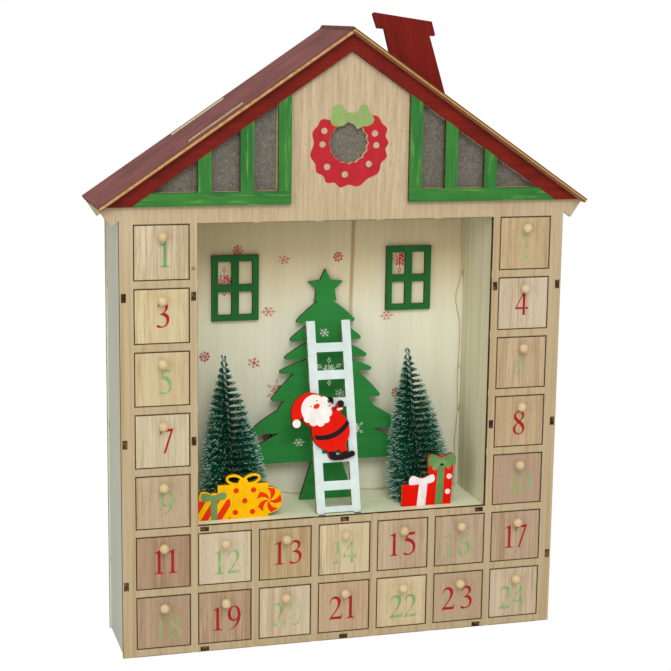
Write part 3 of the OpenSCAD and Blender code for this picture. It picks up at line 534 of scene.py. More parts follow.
# Drawer number: height of the digits' foot above the front's lower edge, the middles of the
# digits across the front, how far the print has faded, and the tone of the front
NUMBERS = {
    1: (8.4, (2.3,), 0.1, (209, 193, 161)), 2: (7.4, (-0.6,), 0.8, (198, 175, 136)),
    3: (10.8, (1.0,), 0.05, (211, 193, 151)), 4: (9.8, (-0.9,), 0.05, (207, 189, 162)),
    5: (8.1, (2.4,), 0.5, (210, 191, 150)), 6: (7.9, (-0.2,), 0.75, (196, 171, 138)),
    7: (9.9, (2.7,), 0.05, (208, 194, 162)), 8: (8.4, (0.1,), 0.0, (194, 169, 132)),
    9: (9.0, (2.6,), 0.55, (194, 171, 140)), 10: (6.5, (-2.6, 6.0), 0.65, (184, 156, 130)),
    11: (10.3, (-3.0, 6.5), 0.1, (177, 146, 117)), 12: (6.8, (-3.9, 6.4), 0.5, (211, 195, 165)),
    13: (10.3, (-4.2, 7.8), 0.05, (194, 170, 129)), 14: (7.6, (-5.3, 4.1), 0.6, (211, 192, 155)),
    15: (10.0, (-6.2, 5.7), 0.05, (199, 175, 146)), 16: (6.0, (-7.9, 3.6), 0.65, (192, 169, 141)),
    17: (9.3, (-4.6, 4.5), 0.2, (190, 164, 137)), 18: (5.5, (-2.2, 8.3), 0.75, (181, 154, 126)),
    19: (8.6, (-5.2, 6.6), 0.05, (186, 159, 129)), 20: (7.9, (-5.0, 7.6), 0.75, (212, 195, 165)),
    21: (9.2, (-6.0, 5.2), 0.05, (198, 171, 138)), 22: (6.3, (-3.9, 7.1), 0.45, (215, 195, 156)),
    23: (8.9, (-7.5, 7.0), 0.0, (191, 165, 136)), 24: (5.9, (-6.3, 4.6), 0.6, (208, 188, 160)),
}
RED_NUMBERS = (3, 4, 7, 8, 11, 13, 15, 17, 19, 21, 23)


def drawer_wood(n, tone):
    """A drawer front's veneer, its own tone and figure, and a dark rim along its cut edges: browning, and
    painted shade of the gap round the front.
    """
    def tinted(*shares):
        return [c * k for c, k in zip(tone, shares)]
    look, colour = veneer(f"drawer_{n}_front", tinted(1.0, 1.02, 1.055), tinted(0.85, 0.82, 0.8),
                          seed=n * 5.7, amount=1.9 + 0.4 * math.sin(n * 2.4), pores=0.5,
                          tint=tinted(0.93, 0.94, 0.97))
    cx, z0 = drawer_place(n)
    side = look.math("SUBTRACT", look.x, cx * MM)
    side = look.math("SUBTRACT", DRAWER_W / 2 * MM, look.math("ABSOLUTE", side))
    foot = look.math("SUBTRACT", look.z, z0 * MM)
    top = look.math("SUBTRACT", (z0 + DRAWER_H) * MM, look.z)
    gap = look.math("MINIMUM", side, look.math("MINIMUM", foot, top))
    # The laser's browning and painted shade of the gap round the front
    burn = look.step(gap, 0.0004, 0.0001, 0.0, 0.8)
    look.colour(look.mix(burn, colour, srgb(56, 34, 12)))
    return look.mat


# The model's boards

# Past this share along an axis, a face looks that way
FACING = 0.5
# The drops of the light string, at x and z, and how far from its middle a drop reaches
LIGHTS = [(106.1, 255.4), (105.4, 184.7), (106.1, 151.4), (104.6, 112.7), (70.2, 93.4), (10.6, 93.2),
          (-47.8, 93.2)]
LIGHT_REACH = 1.9
# Cut edges: their light and dark tones, and what else sets them apart
CUT_EDGES = {
    "cut_dark": dict(light=(120, 86, 46), dark=(50, 31, 12), start=FRONT_Y, burn=0.8),
    "cut_outer": dict(light=(116, 80, 48), dark=(56, 36, 20), start=FRONT_Y, burn=0.9, seed=4.0),
    "cut_pale": dict(light=(232, 204, 164), dark=(176, 126, 82), start=FRONT_Y, burn=0.2),
    "cut_tab_top": dict(light=(122, 90, 72), dark=(70, 46, 36), start=FRONT_Y, burn=0.6, seed=9.0),
    "cut_rear": dict(light=(122, 98, 62), dark=(60, 44, 26), start=REAR_Y, burn=0.6),
    "tab_ends": dict(light=(118, 86, 52), dark=(46, 30, 17), across="z", burn=0.62, seed=2.0),
    "cut_green": dict(light=(104, 84, 52), dark=(48, 40, 22), burn=0.6, seed=5.0),
    "cut_red": dict(light=(96, 40, 28), dark=(40, 18, 12), burn=0.6, seed=6.0),
    "cut_white": dict(light=(170, 150, 128), dark=(92, 70, 52), burn=0.5, seed=7.0),
    "cut_gift": dict(light=(176, 118, 40), dark=(84, 48, 16), burn=0.55, seed=8.0),
}


def cut(name):
    """A cut edge's material, made once."""
    return bpy.data.materials.get(name) or cut_edge(name, **CUT_EDGES[name])


def faces(normal, axis, sign=0):
    """Whether a face looks along an axis: towards the sign's side, or either way for 0."""
    share = normal["xyz".index(axis)]
    return sign * share > FACING if sign else abs(share) > FACING


def dress(name, materials, choose):
    """Gives each polygon of a node the material that choose(centre, normal) picks, in mm."""
    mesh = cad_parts[name].data
    mesh.materials.clear()
    for material in materials:
        mesh.materials.append(getattr(material, "mat", material))
    for polygon in mesh.polygons:
        centre = [c / MM for c in polygon.center]
        polygon.material_index = choose(centre, polygon.normal)


def all_over(_centre, _normal):
    return 0


def face_or_edge(_centre, normal):
    """0 on a cut-out's two faces and 1 on its edges."""
    return 0 if faces(normal, "y") else 1


def panel_edge(centre):
    """2 in the gable's openings, 4 on the tabs above the roof, 3 on the outline, 1 elsewhere."""
    header_z, under_roof, above_roof, outline_x = 320, PEAK_Z - 6, PEAK_Z + 2, 158
    x, _, z = centre
    rise = z + abs(x) * math.tan(ROOF_SLOPE)
    if z > header_z and rise < under_roof:
        return 2
    if rise > above_roof:
        return 4
    return 3 if abs(x) > outline_x or rise > under_roof or z < 1 else 1


def finish_case():
    """The panels, sides, base, niche boards, shelves and dividers."""
    panel = panel_wood()
    back, _ = veneer("rear_plywood", (205, 185, 150), (170, 144, 108), seed=6.0)
    inner, _ = veneer("inner_plywood", (205, 184, 148), (172, 146, 110), seed=9.0)
    floor_wood = niche_wood("niche_floor_wash", 21.0, (240, 244, 216), (226, 232, 199), "x")
    rear_wall = niche_wood("niche_rear_wash_and_shade", 31.0, (236, 236, 218), (220, 219, 197), streak_at=21.3)
    side_wall = niche_wood("niche_side_wash", 41.0, (232, 228, 202), (216, 210, 178), deep=True)
    wash, _ = veneer("side_wash", (198, 202, 194), (174, 178, 168), seed=3.0, amount=0.7, pores=0.2)

    def front_faces(centre, normal):
        return 0 if faces(normal, "y", -1) else 5 if faces(normal, "y", 1) else panel_edge(centre)

    def back_faces(centre, normal):
        if faces(normal, "y"):
            return 0 if faces(normal, "y", -1) else 3
        return 2 if panel_edge(centre) == 4 else 1

    def outside(sign):
        """0 on the side that the sign names, 2 on the tabs' ends, 1 elsewhere."""
        return lambda _, n: 0 if faces(n, "x", sign) else 2 if faces(n, "y") or faces(n, "z") else 1

    def into_niche(axis, sign):
        return lambda _, n: 0 if faces(n, axis, sign) else 2 if faces(n, "y") else 1

    dress("front_panel", [panel, cut("cut_dark"), cut("cut_pale"), cut("cut_outer"), cut("cut_tab_top"),
                          inner], front_faces)
    dress("back_panel", [rear_wall, cut("cut_rear"), cut("cut_tab_top"), back], back_faces)
    ends = cut("tab_ends")
    for side, sign in (("left", -1), ("right", 1)):
        dress(f"{side}_side", [wash, inner, ends], outside(sign))
        dress(f"niche_{side}_wall", [side_wall, inner, ends], into_niche("x", -sign))
        dress(f"{side}_shelves", [inner], all_over)
    dress("niche_floor", [floor_wood, inner, ends], into_niche("z", 1))
    dress("base_board", [inner, ends], lambda _, n: 1 if faces(n, "y") else 0)
    for name in ["lower_shelf"] + [f"lower_divider_{i}" for i in range(1, 7)]:
        dress(name, [inner], all_over)


def grained(colour, shares):
    """The tone of a stain in the grain, as a share of each of its colour's parts."""
    return [c * k for c, k in zip(colour, shares)]


def finish_roof(settings):
    """Both roof panels, the barge board and the chimney."""
    roof, upper_ends, steep = rgb(settings.roof_stain), 430, 0.75
    ridge_cut, _ = veneer("cut_ridge", (112, 68, 66), (78, 44, 42), axis="y", seed=6.5, pores=0.2)

    def roof_faces(centre, normal):
        if faces(normal, "y"):
            return 1
        if abs(normal[2]) > steep:
            return 0 if normal[2] > 0 else 2
        return 4 if centre[2] > upper_ends else 3

    for name, turn, seed, core, line in (
            ("roof_left", 34.2, 12.0, (206, 158, 106), None),
            ("roof_right", -34.2, 15.0, (148, 104, 62), (200, 154, 92))):
        top, _ = stain(f"{name}_stain", roof, grained(roof, (0.731, 0.667, 0.699)), axis="x", turn=turn,
                       seed=seed, rough=0.5, brush=0.8, length=45)
        under, _ = veneer(f"{name}_under", (178, 150, 112), (140, 112, 80), axis="x", turn=turn, seed=seed)
        edge = roof_edge(f"cut_{name}", core, line, seed)
        dress(name, [top, edge, under, cut("tab_ends"), ridge_cut], roof_faces)
    barge, stack = rgb(settings.barge_stain), rgb(settings.chimney_stain)
    barge_look, _ = stain("barge_stain", barge, grained(barge, (0.719, 0.567, 0.556)), axis="x", seed=2.0,
                          brush=0.5)
    dress("barge_board", [barge_look, cut("cut_red")], face_or_edge)
    stack_look, _ = stain("chimney_stain", stack, grained(stack, (0.723, 0.481, 0.5)), axis="z", turn=12,
                          seed=4.0, brush=0.5)
    dress("chimney", [stack_look, cut("cut_red")], face_or_edge)


def finish_gable(settings):
    """The green frames, whose upright bars start above their lower bar, and the film behind them."""
    green, upright_z = rgb(settings.frame_stain), 325.2
    look, _ = stain("frame_stain", green, grained(green, (0.586, 0.794, 0.889)), axis="x", seed=7.0,
                    edge=(112, 164, 74), upright=upright_z)
    for name in ("gable_frame_left", "gable_frame_right"):
        dress(name, [look, cut("cut_green")], face_or_edge)
    dress("gable_film", [film_look()], all_over)


def finish_cutouts(settings):
    """The tree, the windows, the ladder, the climbing figure and the gifts."""
    tree, window = rgb(settings.tree_stain), rgb(settings.window_stain)
    tree_look, _ = stain("tree_stain", tree, grained(tree, (0.68, 0.845, 0.818)), axis="x", seed=9.0,
                         brush=0.4)
    window_look, _ = stain("window_stain", window, grained(window, (0.667, 0.804, 0.82)), axis="z",
                           seed=5.0, brush=0.45)
    white = paint("ladder_paint", (216, 231, 233), seed=1.0, rough=0.45, even=0.6)
    suit = paint("figure_red", rgb(settings.suit_paint), seed=3.0, rough=0.45)
    gold = paint("gift_yellow", (255, 194, 0), seed=5.0, rough=0.45)
    scarlet = paint("gift_red", (234, 18, 0), seed=6.0, rough=0.45)
    for name, look, edge in (
            ("tree_cutout", tree_look, "cut_green"), ("niche_window_left", window_look, "cut_green"),
            ("niche_window_right", window_look, "cut_green"), ("ladder", white, "cut_white"),
            ("climbing_figure", suit, "cut_red"), ("gifts_left", gold, "cut_gift"),
            ("gifts_right", scarlet, "cut_gift")):
        dress(name, [look, cut(edge)], face_or_edge)


def finish_lights():
    """The string's bare wire and its clear drops."""
    copper, drop = Look("string_wire", 0.35, 0.5), Look("string_lights", 0.12, 0.5)
    copper.give(copper.bsdf.inputs["Metallic"], 0.7)
    copper.colour(srgb(204, 182, 140))
    drop.colour(srgb(232, 218, 176))
    drop.give(drop.bsdf.inputs["Transmission Weight"], 0.35)

    def wire_or_drop(centre, _normal):
        return int(any(max(abs(centre[0] - x), abs(centre[2] - z)) < LIGHT_REACH for x, z in LIGHTS))
    dress("light_string", [copper, drop], wire_or_drop)


def finish_drawers():
    """Each drawer's front, its cut edges, its box and its knob."""
    box_ply, _ = veneer("drawer_box", (212, 190, 152), (178, 150, 112), axis="x", seed=14.0)
    knob, _ = veneer("knob_wood", (220, 201, 164), (194, 169, 128), axis="y", seed=17.0, pores=0.25,
                     rough=0.45)
    knob_start, box_start = FRONT_Y - 0.1, INNER_Y + 0.02

    def drawer_faces(centre, normal):
        if centre[1] < knob_start:
            return 3
        if centre[1] < box_start and not faces(normal, "y", 1):
            return 0 if faces(normal, "y", -1) else 1
        return 2
    for n, (_, _, _, tone) in NUMBERS.items():
        dress(f"drawer_{n}", [drawer_wood(n, tone), cut("cut_dark"), box_ply, knob], drawer_faces)


# Printed work

def print_numbers(settings):
    """Each drawer's number. Drawer 1 has the densest green."""
    height = settings.digit_height / MM
    dense_green = (106, 160, 102)
    for n, (foot, middles, fade, tone) in NUMBERS.items():
        red = n in RED_NUMBERS
        colour = rgb(settings.red_ink) if red else rgb(settings.green_ink) if n > 1 else dense_green
        ink = paint(f"number_{n}_ink", colour, wear=tone, fade=fade, seed=n * 3.1, rough=0.6)
        cx, z0 = drawer_place(n)
        loops = []
        for digit, middle in zip(str(n), middles):
            turned = digit == "9"
            shape = path(DIGITS["6" if turned else digit])
            if turned:
                shape = [[(SIX_BOX[0] - u, SIX_BOX[1] - v) for u, v in loop] for loop in shape]
            at = middle - DIGIT_MIDDLE.get(digit, MOST_MIDDLES) * height
            loops += moved(shape, cx + at, z0 + foot, height)
        flat(f"number_{n}", loops, on_wall(FRONT_Y), ink, f"drawer_{n}_body")


def print_wreath(settings):
    """A red wreath round its hole, with bare dots and a green bow."""
    red = paint("wreath_red", rgb(settings.wreath_paint), wear=(214, 150, 120), seed=2.0)
    leaf = paint("wreath_bow", (146, 172, 106), wear=(190, 196, 140), fade=0.25, seed=4.0)
    x, z = -1.0, 357.0
    # Its outline's radius at each 30 degrees, from the right and upwards: cut in under the bow
    radii = (27.4, 28.0, 23.0, 18.0, 19.5, 26.0, 25.8, 28.6, 30.0, 29.6, 29.2, 28.2)
    outer = []
    # Points between two radii, and the rim's lobes: their count, depth and unevenness
    between, lobes, depth, sway = 20, 15, 0.035, 1.4
    count = between * len(radii)
    for i in range(count):
        k, part = i // between, i % between / between
        part = part * part * (3 - 2 * part)
        a = 2 * math.pi * i / count
        r = radii[k] * (1 - part) + radii[(k + 1) % len(radii)] * part
        r *= 1 + depth * math.cos(lobes * a + sway * math.sin(3 * a))
        outer.append((x + r * math.cos(a), z + r * math.sin(a)))
    inner = wavy(x, z, 13.75, 16, depth)
    dots = [(-18.5, 365.4), (-19.7, 356.2), (-16.3, 340.9), (-3.6, 335.6), (13.5, 342.6),
            (18.7, 355.4), (17.5, 363.4)]
    loops = [outer, inner] + [ring(u, v, 2.2, count=20) for u, v in dots]
    flat("wreath", loops, on_wall(FRONT_Y), red)
    bow = path("M -14.2 377.2 C -13.8 380 -13 381.6 -11.3 382.3 C -9.6 383.4 -8 383.4 -6.5 382.8"
               " C -5 381.6 -4.6 379.6 -3.7 378.7 C -2.4 377.6 -1 377.6 .6 377.8"
               " C 2.2 377.5 4 377.7 5.3 378.7 C 6 379.8 6.4 381.8 7.7 382.8"
               " C 9 383.3 10.6 383 11.7 382.3 C 12.6 381.3 12.8 379.8 13.2 378.7"
               " C 14.4 376.8 15.8 375.4 16.6 373.7 C 17 372.2 16.4 371 15.7 370.3 C 14.8 369.5 13.8 369"
               " 12.7 368.7 C 11 368.2 9.4 368.5 7.9 368.1 C 6.8 367.7 6 366.6 5.1 366.5 C 4.2 366.7 3.8 368"
               " 3.1 368.8 C 1.8 369.9 0 371 -1.7 371.5 C -3 370.9 -4 369.6 -5.2 368.8 C -7.4 368.2 -10"
               " 368.2 -12.3 368.9 C -13.6 369.8 -14.2 371.2 -14.2 372.7 Z")
    flat("wreath_bow", bow, on_wall(FRONT_Y), leaf, lift=2 * LIFT)


def flake(kind, x, z, size, turn=0.0):
    """A small snowflake: a star of plain arms, a dotted round, or a large one with leaf tips."""
    loops = []
    arms = {"star": 6, "round": 8, "leaf": 6}[kind]
    for i in range(arms):
        a = math.radians(turn + 360 * i / arms)
        c, s = math.cos(a), math.sin(a)

        def at(u, v):
            tall = 0.8 if kind == "star" else 1
            return (x + size * (u * c - v * s), z + size * tall * (u * s + v * c))
        if kind == "star":
            # Worn: some arms are short
            reach = (1.0, 0.7, 0.9, 1.0, 0.75, 0.85)[(i + int(7 * abs(x))) % 6]
            loops.append([at(0.15, -0.07), at(reach, -0.05), at(reach, 0.05), at(0.15, 0.07)])
            for sign in (-1, 1):
                loops.append([at(0.46, sign * 0.08), at(0.64, sign * 0.26), at(0.72, sign * 0.18),
                              at(0.6, sign * 0.07)][::sign])
        elif kind == "round":
            loops.append(ring(*at(0.72, 0), size * 0.24, count=8))
            loops.append([at(0.1, -0.1), at(0.46, -0.08), at(0.46, 0.08), at(0.1, 0.1)])
        else:
            loops.append([at(0.55, 0), at(0.74, 0.14), at(1, 0), at(0.74, -0.14)])
            loops.append([at(0.64, 0), at(0.74, -0.07), at(0.88, 0), at(0.74, 0.07)])
            loops.append([at(0.1, -0.05), at(0.5, -0.04), at(0.5, 0.04), at(0.1, 0.05)])
            for sign in (-1, 1):
                loops.append([at(0.18, sign * 0.05), at(0.4, sign * 0.26), at(0.49, sign * 0.2),
                              at(0.29, sign * 0.05)][::sign])
    loops.append(ring(x, z, size * (0.13 if kind == "star" else 0.1), count=10))
    return loops


# Kind, x, z, size and turn: on the rear wall, and on the tree, whose z runs up its board
WALL_FLAKES = [
    ("round", -64.6, 276.1, 4.2, 0), ("star", -30.9, 268.5, 5.6, 15), ("round", 10.2, 269.7, 4.0, 10),
    ("star", -41.7, 230.8, 6.0, 0), ("round", -88.9, 199.6, 4.2, 0), ("star", -52.5, 193.4, 6.0, 20),
    ("star", 48.1, 224.8, 5.6, 5), ("round", 56.8, 165.9, 4.2, 0), ("leaf", -35.0, 172.0, 9.0, 30),
    ("round", -42.4, 138.1, 4.2, 0), ("leaf", -74.6, 253.8, 11.2, 30), ("leaf", 57.5, 267.0, 11.0, 30),
]
TREE_FLAKES = [
    ("star", -1.1, 123.3, 4.6, 10), ("leaf", 2.3, 94.5, 11.0, 30), ("star", 10.5, 78.2, 4.6, 20),
    ("star", -21.0, 43.0, 4.8, 5), ("leaf", 21.8, 51.5, 7.5, 30),
]


def mark_ladder_feet():
    """Dark marks on the floor just before the ladder's feet."""
    dark = paint("foot_marks", (66, 54, 38), seed=7.0, rough=0.7)
    half_w, near, far, half_gauge = 2.6, -25.6, -23.4, 13.2
    for side, sign in (("left", -1), ("right", 1)):
        x = LADDER_X + sign * half_gauge
        mark = [(x - half_w, near), (x + half_w, near), (x + half_w, far), (x - half_w, far)]
        flat(f"ladder_mark_{side}", [mark], lambda u, v, lift: Vector((u, v, FLOOR_Z + lift)) * MM, dark)


def print_snow():
    """The red snowflakes of the rear wall and the white ones of the tree."""
    red = paint("snow_red", (196, 62, 66), wear=(216, 210, 190), fade=0.5, seed=6.0)
    white = paint("snow_white", (226, 236, 222), wear=(110, 160, 110), fade=0.3, seed=8.0)
    for i, spec in enumerate(WALL_FLAKES, 1):
        flat(f"wall_flake_{i}", flake(*spec), on_wall(REAR_Y), red)
    for i, spec in enumerate(TREE_FLAKES, 1):
        flat(f"tree_flake_{i}", flake(*spec), on_plane(TREE_PLANE), white)


def paint_figure():
    """White beard and trim, black belt, mittens and boots on the red climbing figure."""
    tall, foot = 50.0, 37.0
    white = paint("figure_white", (248, 244, 242), seed=2.0, rough=0.45)
    black = paint("figure_black", (30, 26, 30), seed=4.0, rough=0.45)
    nose_red = paint("figure_nose", (238, 52, 30), seed=5.0, rough=0.4)

    def layer(name, loops, material, level=0):
        flat(name, moved(loops, LADDER_X, foot, tall), on_plane(FIGURE_PLANE), material,
             lift=LIFT + LAYER_STEP * level)

    beard = path("M -.315 .955 C -.41 .935 -.475 .87 -.49 .77 C -.5 .72 -.475 .66 -.455 .625"
                 " C -.47 .585 -.42 .55 -.385 .565 C -.37 .505 -.3 .49 -.27 .53"
                 " C -.24 .475 -.16 .49 -.155 .545 C -.1 .53 -.06 .575 -.085 .63"
                 " C -.035 .64 -.02 .7 -.05 .74 C -.01 .79 -.03 .85 -.075 .86 C -.08 .91 -.14 .94 -.18 .915"
                 " C -.21 .95 -.27 .965 -.315 .955 Z", 6)
    layer("figure_beard", beard, white)
    layer("figure_pompom", [ring(-0.57, 0.555, 0.06)], white)
    layer("figure_nose", [ring(-0.26, 0.79, 0.05, 0.036, turn=25)], nose_red, 1)
    layer("figure_eyes", [ring(-0.345, 0.79, 0.01, count=10), ring(-0.25, 0.868, 0.01, count=10)], black, 1)
    layer("figure_belt", [band((-0.31, 0.345), (0.2, 0.545), 0.072, bow=-0.085)], black)
    layer("figure_mittens", [ring(-0.05, 0.862, 0.046, 0.056), ring(0.105, 0.805, 0.046, 0.056)], black)
    layer("figure_cuffs", [band((-0.095, 0.79), (-0.01, 0.79), 0.032),
                           band((0.045, 0.725), (0.125, 0.745), 0.032)], white)
    layer("figure_boot_left", path(
        "M -.131 .13 L -.113 .07 C -.112 .04 -.09 .018 -.06 .017 L -.035 .002 L .075 .002"
        " C .128 .002 .128 .078 .075 .078 L -.006 .078 L -.022 .13 Z"), black, 1)
    layer("figure_boot_right", path(
        "M .062 .11 C .062 .085 .078 .062 .094 .054 C .093 .028 .11 .012 .142 .014 L .247 .05"
        " C .287 .063 .272 .137 .223 .122 L .168 .104 L .156 .134 Z"), black, 2)


def print_gifts():
    """The gifts' stripes, dots, ribbons and bows, and the round sweet's blades."""
    red = paint("gift_print_red", (238, 52, 22), seed=12.0, rough=0.45)
    sage = paint("gift_print_sage", (118, 156, 100), seed=13.0, rough=0.5)
    pale = paint("gift_print_white", (246, 238, 244), seed=14.0, rough=0.45)
    green = paint("gift_print_green", (104, 146, 88), seed=15.0, rough=0.5)

    def put(name, loops, material, level=0):
        flat(name, moved(loops, 0, FLOOR_Z + GLUE_GAP), on_wall(GIFTS_Y), material,
             lift=LIFT + LAYER_STEP * level)

    # Slanted stripes on the small left box, under its ribbon
    inset = 0.05
    x0, w, h, slant, stripe_w, pitch = box_mm("gifts_left")[0][0] + inset, 23.0, 14.4, 9.0, 5.4, 10.0
    stripes = []
    for i in range(4):
        a = -8.5 + pitch * i
        b = a + stripe_w
        clipped = clip_to([(a, 0), (b, 0), (b + slant, h), (a + slant, h)], 0, w)
        stripes.append([(x0 + u, v + inset) for u, v in clipped])
    put("gift_stripes", stripes, red)
    put("gift_ribbon_sage", [[(-94.4, 0.05), (-89.8, 0.05), (-89.8, 14.5), (-94.4, 14.5)]], sage, 1)
    put("gift_bow_sage", path(
        "M -101.4 15.2 C -102.2 18.6 -100.6 20.4 -98 19.9 C -95.6 19.4 -94 18.2 -92.2 17.9"
        " C -90.4 18.2 -88.8 19.4 -86.4 19.9 C -83.8 20.4 -82.6 18.6 -83.2 16.2"
        " C -84 14 -87 14 -89.8 14.6 L -94.4 14.6 C -97.4 13.6 -100.6 13.2 -101.4 15.2 Z"), sage, 1)
    put("gift_dots", [ring(u, v, 2.0, count=22) for u, v in
                      ((-76.2, 20.4), (-63.6, 20.2), (-69.9, 12.7), (-76.7, 4.6), (-64.3, 4.4))], red)
    # The sweet's curved red blades: each goes out along one side and back along the other
    steps = [0.06, 0.25, 0.45, 0.65, 0.85, 1.0]
    sweet_x, sweet_z, radius, count, width, curl = -52.2, 12.0, 9.3, 5, 0.64, 0.85
    blades = []
    for i in range(count):
        first = math.radians(360 / count * i + 15)
        turns = [(radius * t, first + off + curl * t)
                 for off, run in ((0, steps), (width, steps[::-1])) for t in run]
        blades.append([(sweet_x + r * math.cos(a), sweet_z + r * math.sin(a)) for r, a in turns])
    put("sweet_blades", blades, red)
    put("gift_ribbon_white", [[(58.6, 0.05), (65.2, 0.05), (66.6, 16.2), (60.2, 16.2)]], pale, 1)
    put("gift_bow_white", path(
        "M 52.6 16.4 C 51.6 19.6 53.4 22.6 55.6 22.8 C 58 22.4 59.8 20.6 62.2 20.4"
        " C 65.4 20.6 67.6 22.8 70.4 23 C 72.6 22.2 72.6 19 71.4 17.6"
        " C 69.4 16.4 66.6 16.2 65 16.2 L 60.2 16.2 C 57.6 16.2 54.4 15.4 52.6 16.4 Z"), pale, 1)
    put("gift_ribbon_green", [[(72.6, 0.05), (78.3, 0.05), (79.8, 31.2), (74.4, 32.4)]], green, 1)
    put("gift_bow_green", path(
        "M 77.4 29.3 L 87.5 29.3 C 88.8 35.5 87.7 38.4 84.05 37.9 C 81.9 37 79.4 35.6 77.4 35.1"
        " C 75.4 35.6 72.9 37 70.75 37.9 C 67.1 38.4 66 35.5 67.3 29.3 Z"), green, 1)
    put("gift_tail_left", [band((77.0, 33.2), (70.8, 26.6), 3.2)], sage, 2)
    put("gift_tail_right", [band((77.8, 33.2), (83.6, 27.2), 3.2)], sage, 3)
    put("gift_spots", [ring(83.3, 20.8, 2.0, count=22), ring(82.4, 9.4, 2.0, count=22)], pale)


def clip_to(corners, low, high):
    """A polygon's part between two upright lines."""
    for limit, sign in ((low, 1), (high, -1)):
        result = []
        for (ax, ay), (bx, by) in zip(corners, corners[1:] + corners[:1]):
            ina, inb = sign * (ax - limit) >= 0, sign * (bx - limit) >= 0
            if ina:
                result.append((ax, ay))
            if ina != inb:
                t = (limit - ax) / (bx - ax)
                result.append((limit, ay + (by - ay) * t))
        corners = result
    return corners


# Bottle-brush trees

# In mm: the tree's height, its bristles' longest reach, the bare wire at its foot, its place in
# depth, and the room before it, up to the gifts' top, and behind it, where the tree cut-out leans
BRUSH = {"tall": 115.0, "reach": 27.0, "bare": 5.0, "y": 0.75, "gifts_top": 44.8, "front": 15.4,
         "rear": 14.4, "rear_slope": math.tan(math.radians(TREE_PLANE[1]))}
# The bristles' bend, as a part of their length, and the seeds of their frost and of their rows
BRISTLE_BEND, BRISTLE_SEED = 0.0007, 5
ROW_SEEDS = {"left": 11, "right": 23}
# In mm: each wire's radius, its place off the middle, and the length over which the two meet at
# the top; and the steps along a wire
WIRE_RADIUS, WIRE_OUT, WIRES_MEET, WIRE_STEPS = 0.5, 0.72, 5, 260
# Side, foot's x, lean in degrees, one left-handed turn of the two twisted wires in mm, and its start
BRUSH_TREES = (("left", -72.2, 4.6, 9.45, -0.37), ("right", 69.1, 7.0, 9.0, -0.68))


def bristle_reach(z, a):
    """How far a bristle may go at height z and azimuth a, in mm, clear of its neighbours."""
    shortest, fullness = 1.9, 1.6
    free = BRUSH["reach"] * (1 - (z / BRUSH["tall"]) ** fullness)
    s = math.sin(a)
    room = BRUSH["rear"] + z * BRUSH["rear_slope"]
    if s < 0:
        room = BRUSH["front"] if z < BRUSH["gifts_top"] else BRUSH["reach"]
    return max(shortest, min(free, room / abs(s)) if s else free)


def socket_id(tree, name):
    """The identifier of a node group's input, by its name."""
    for item in tree.interface.items_tree:
        if item.name == name and item.in_out == "INPUT":
            return item.identifier
    raise KeyError(name)


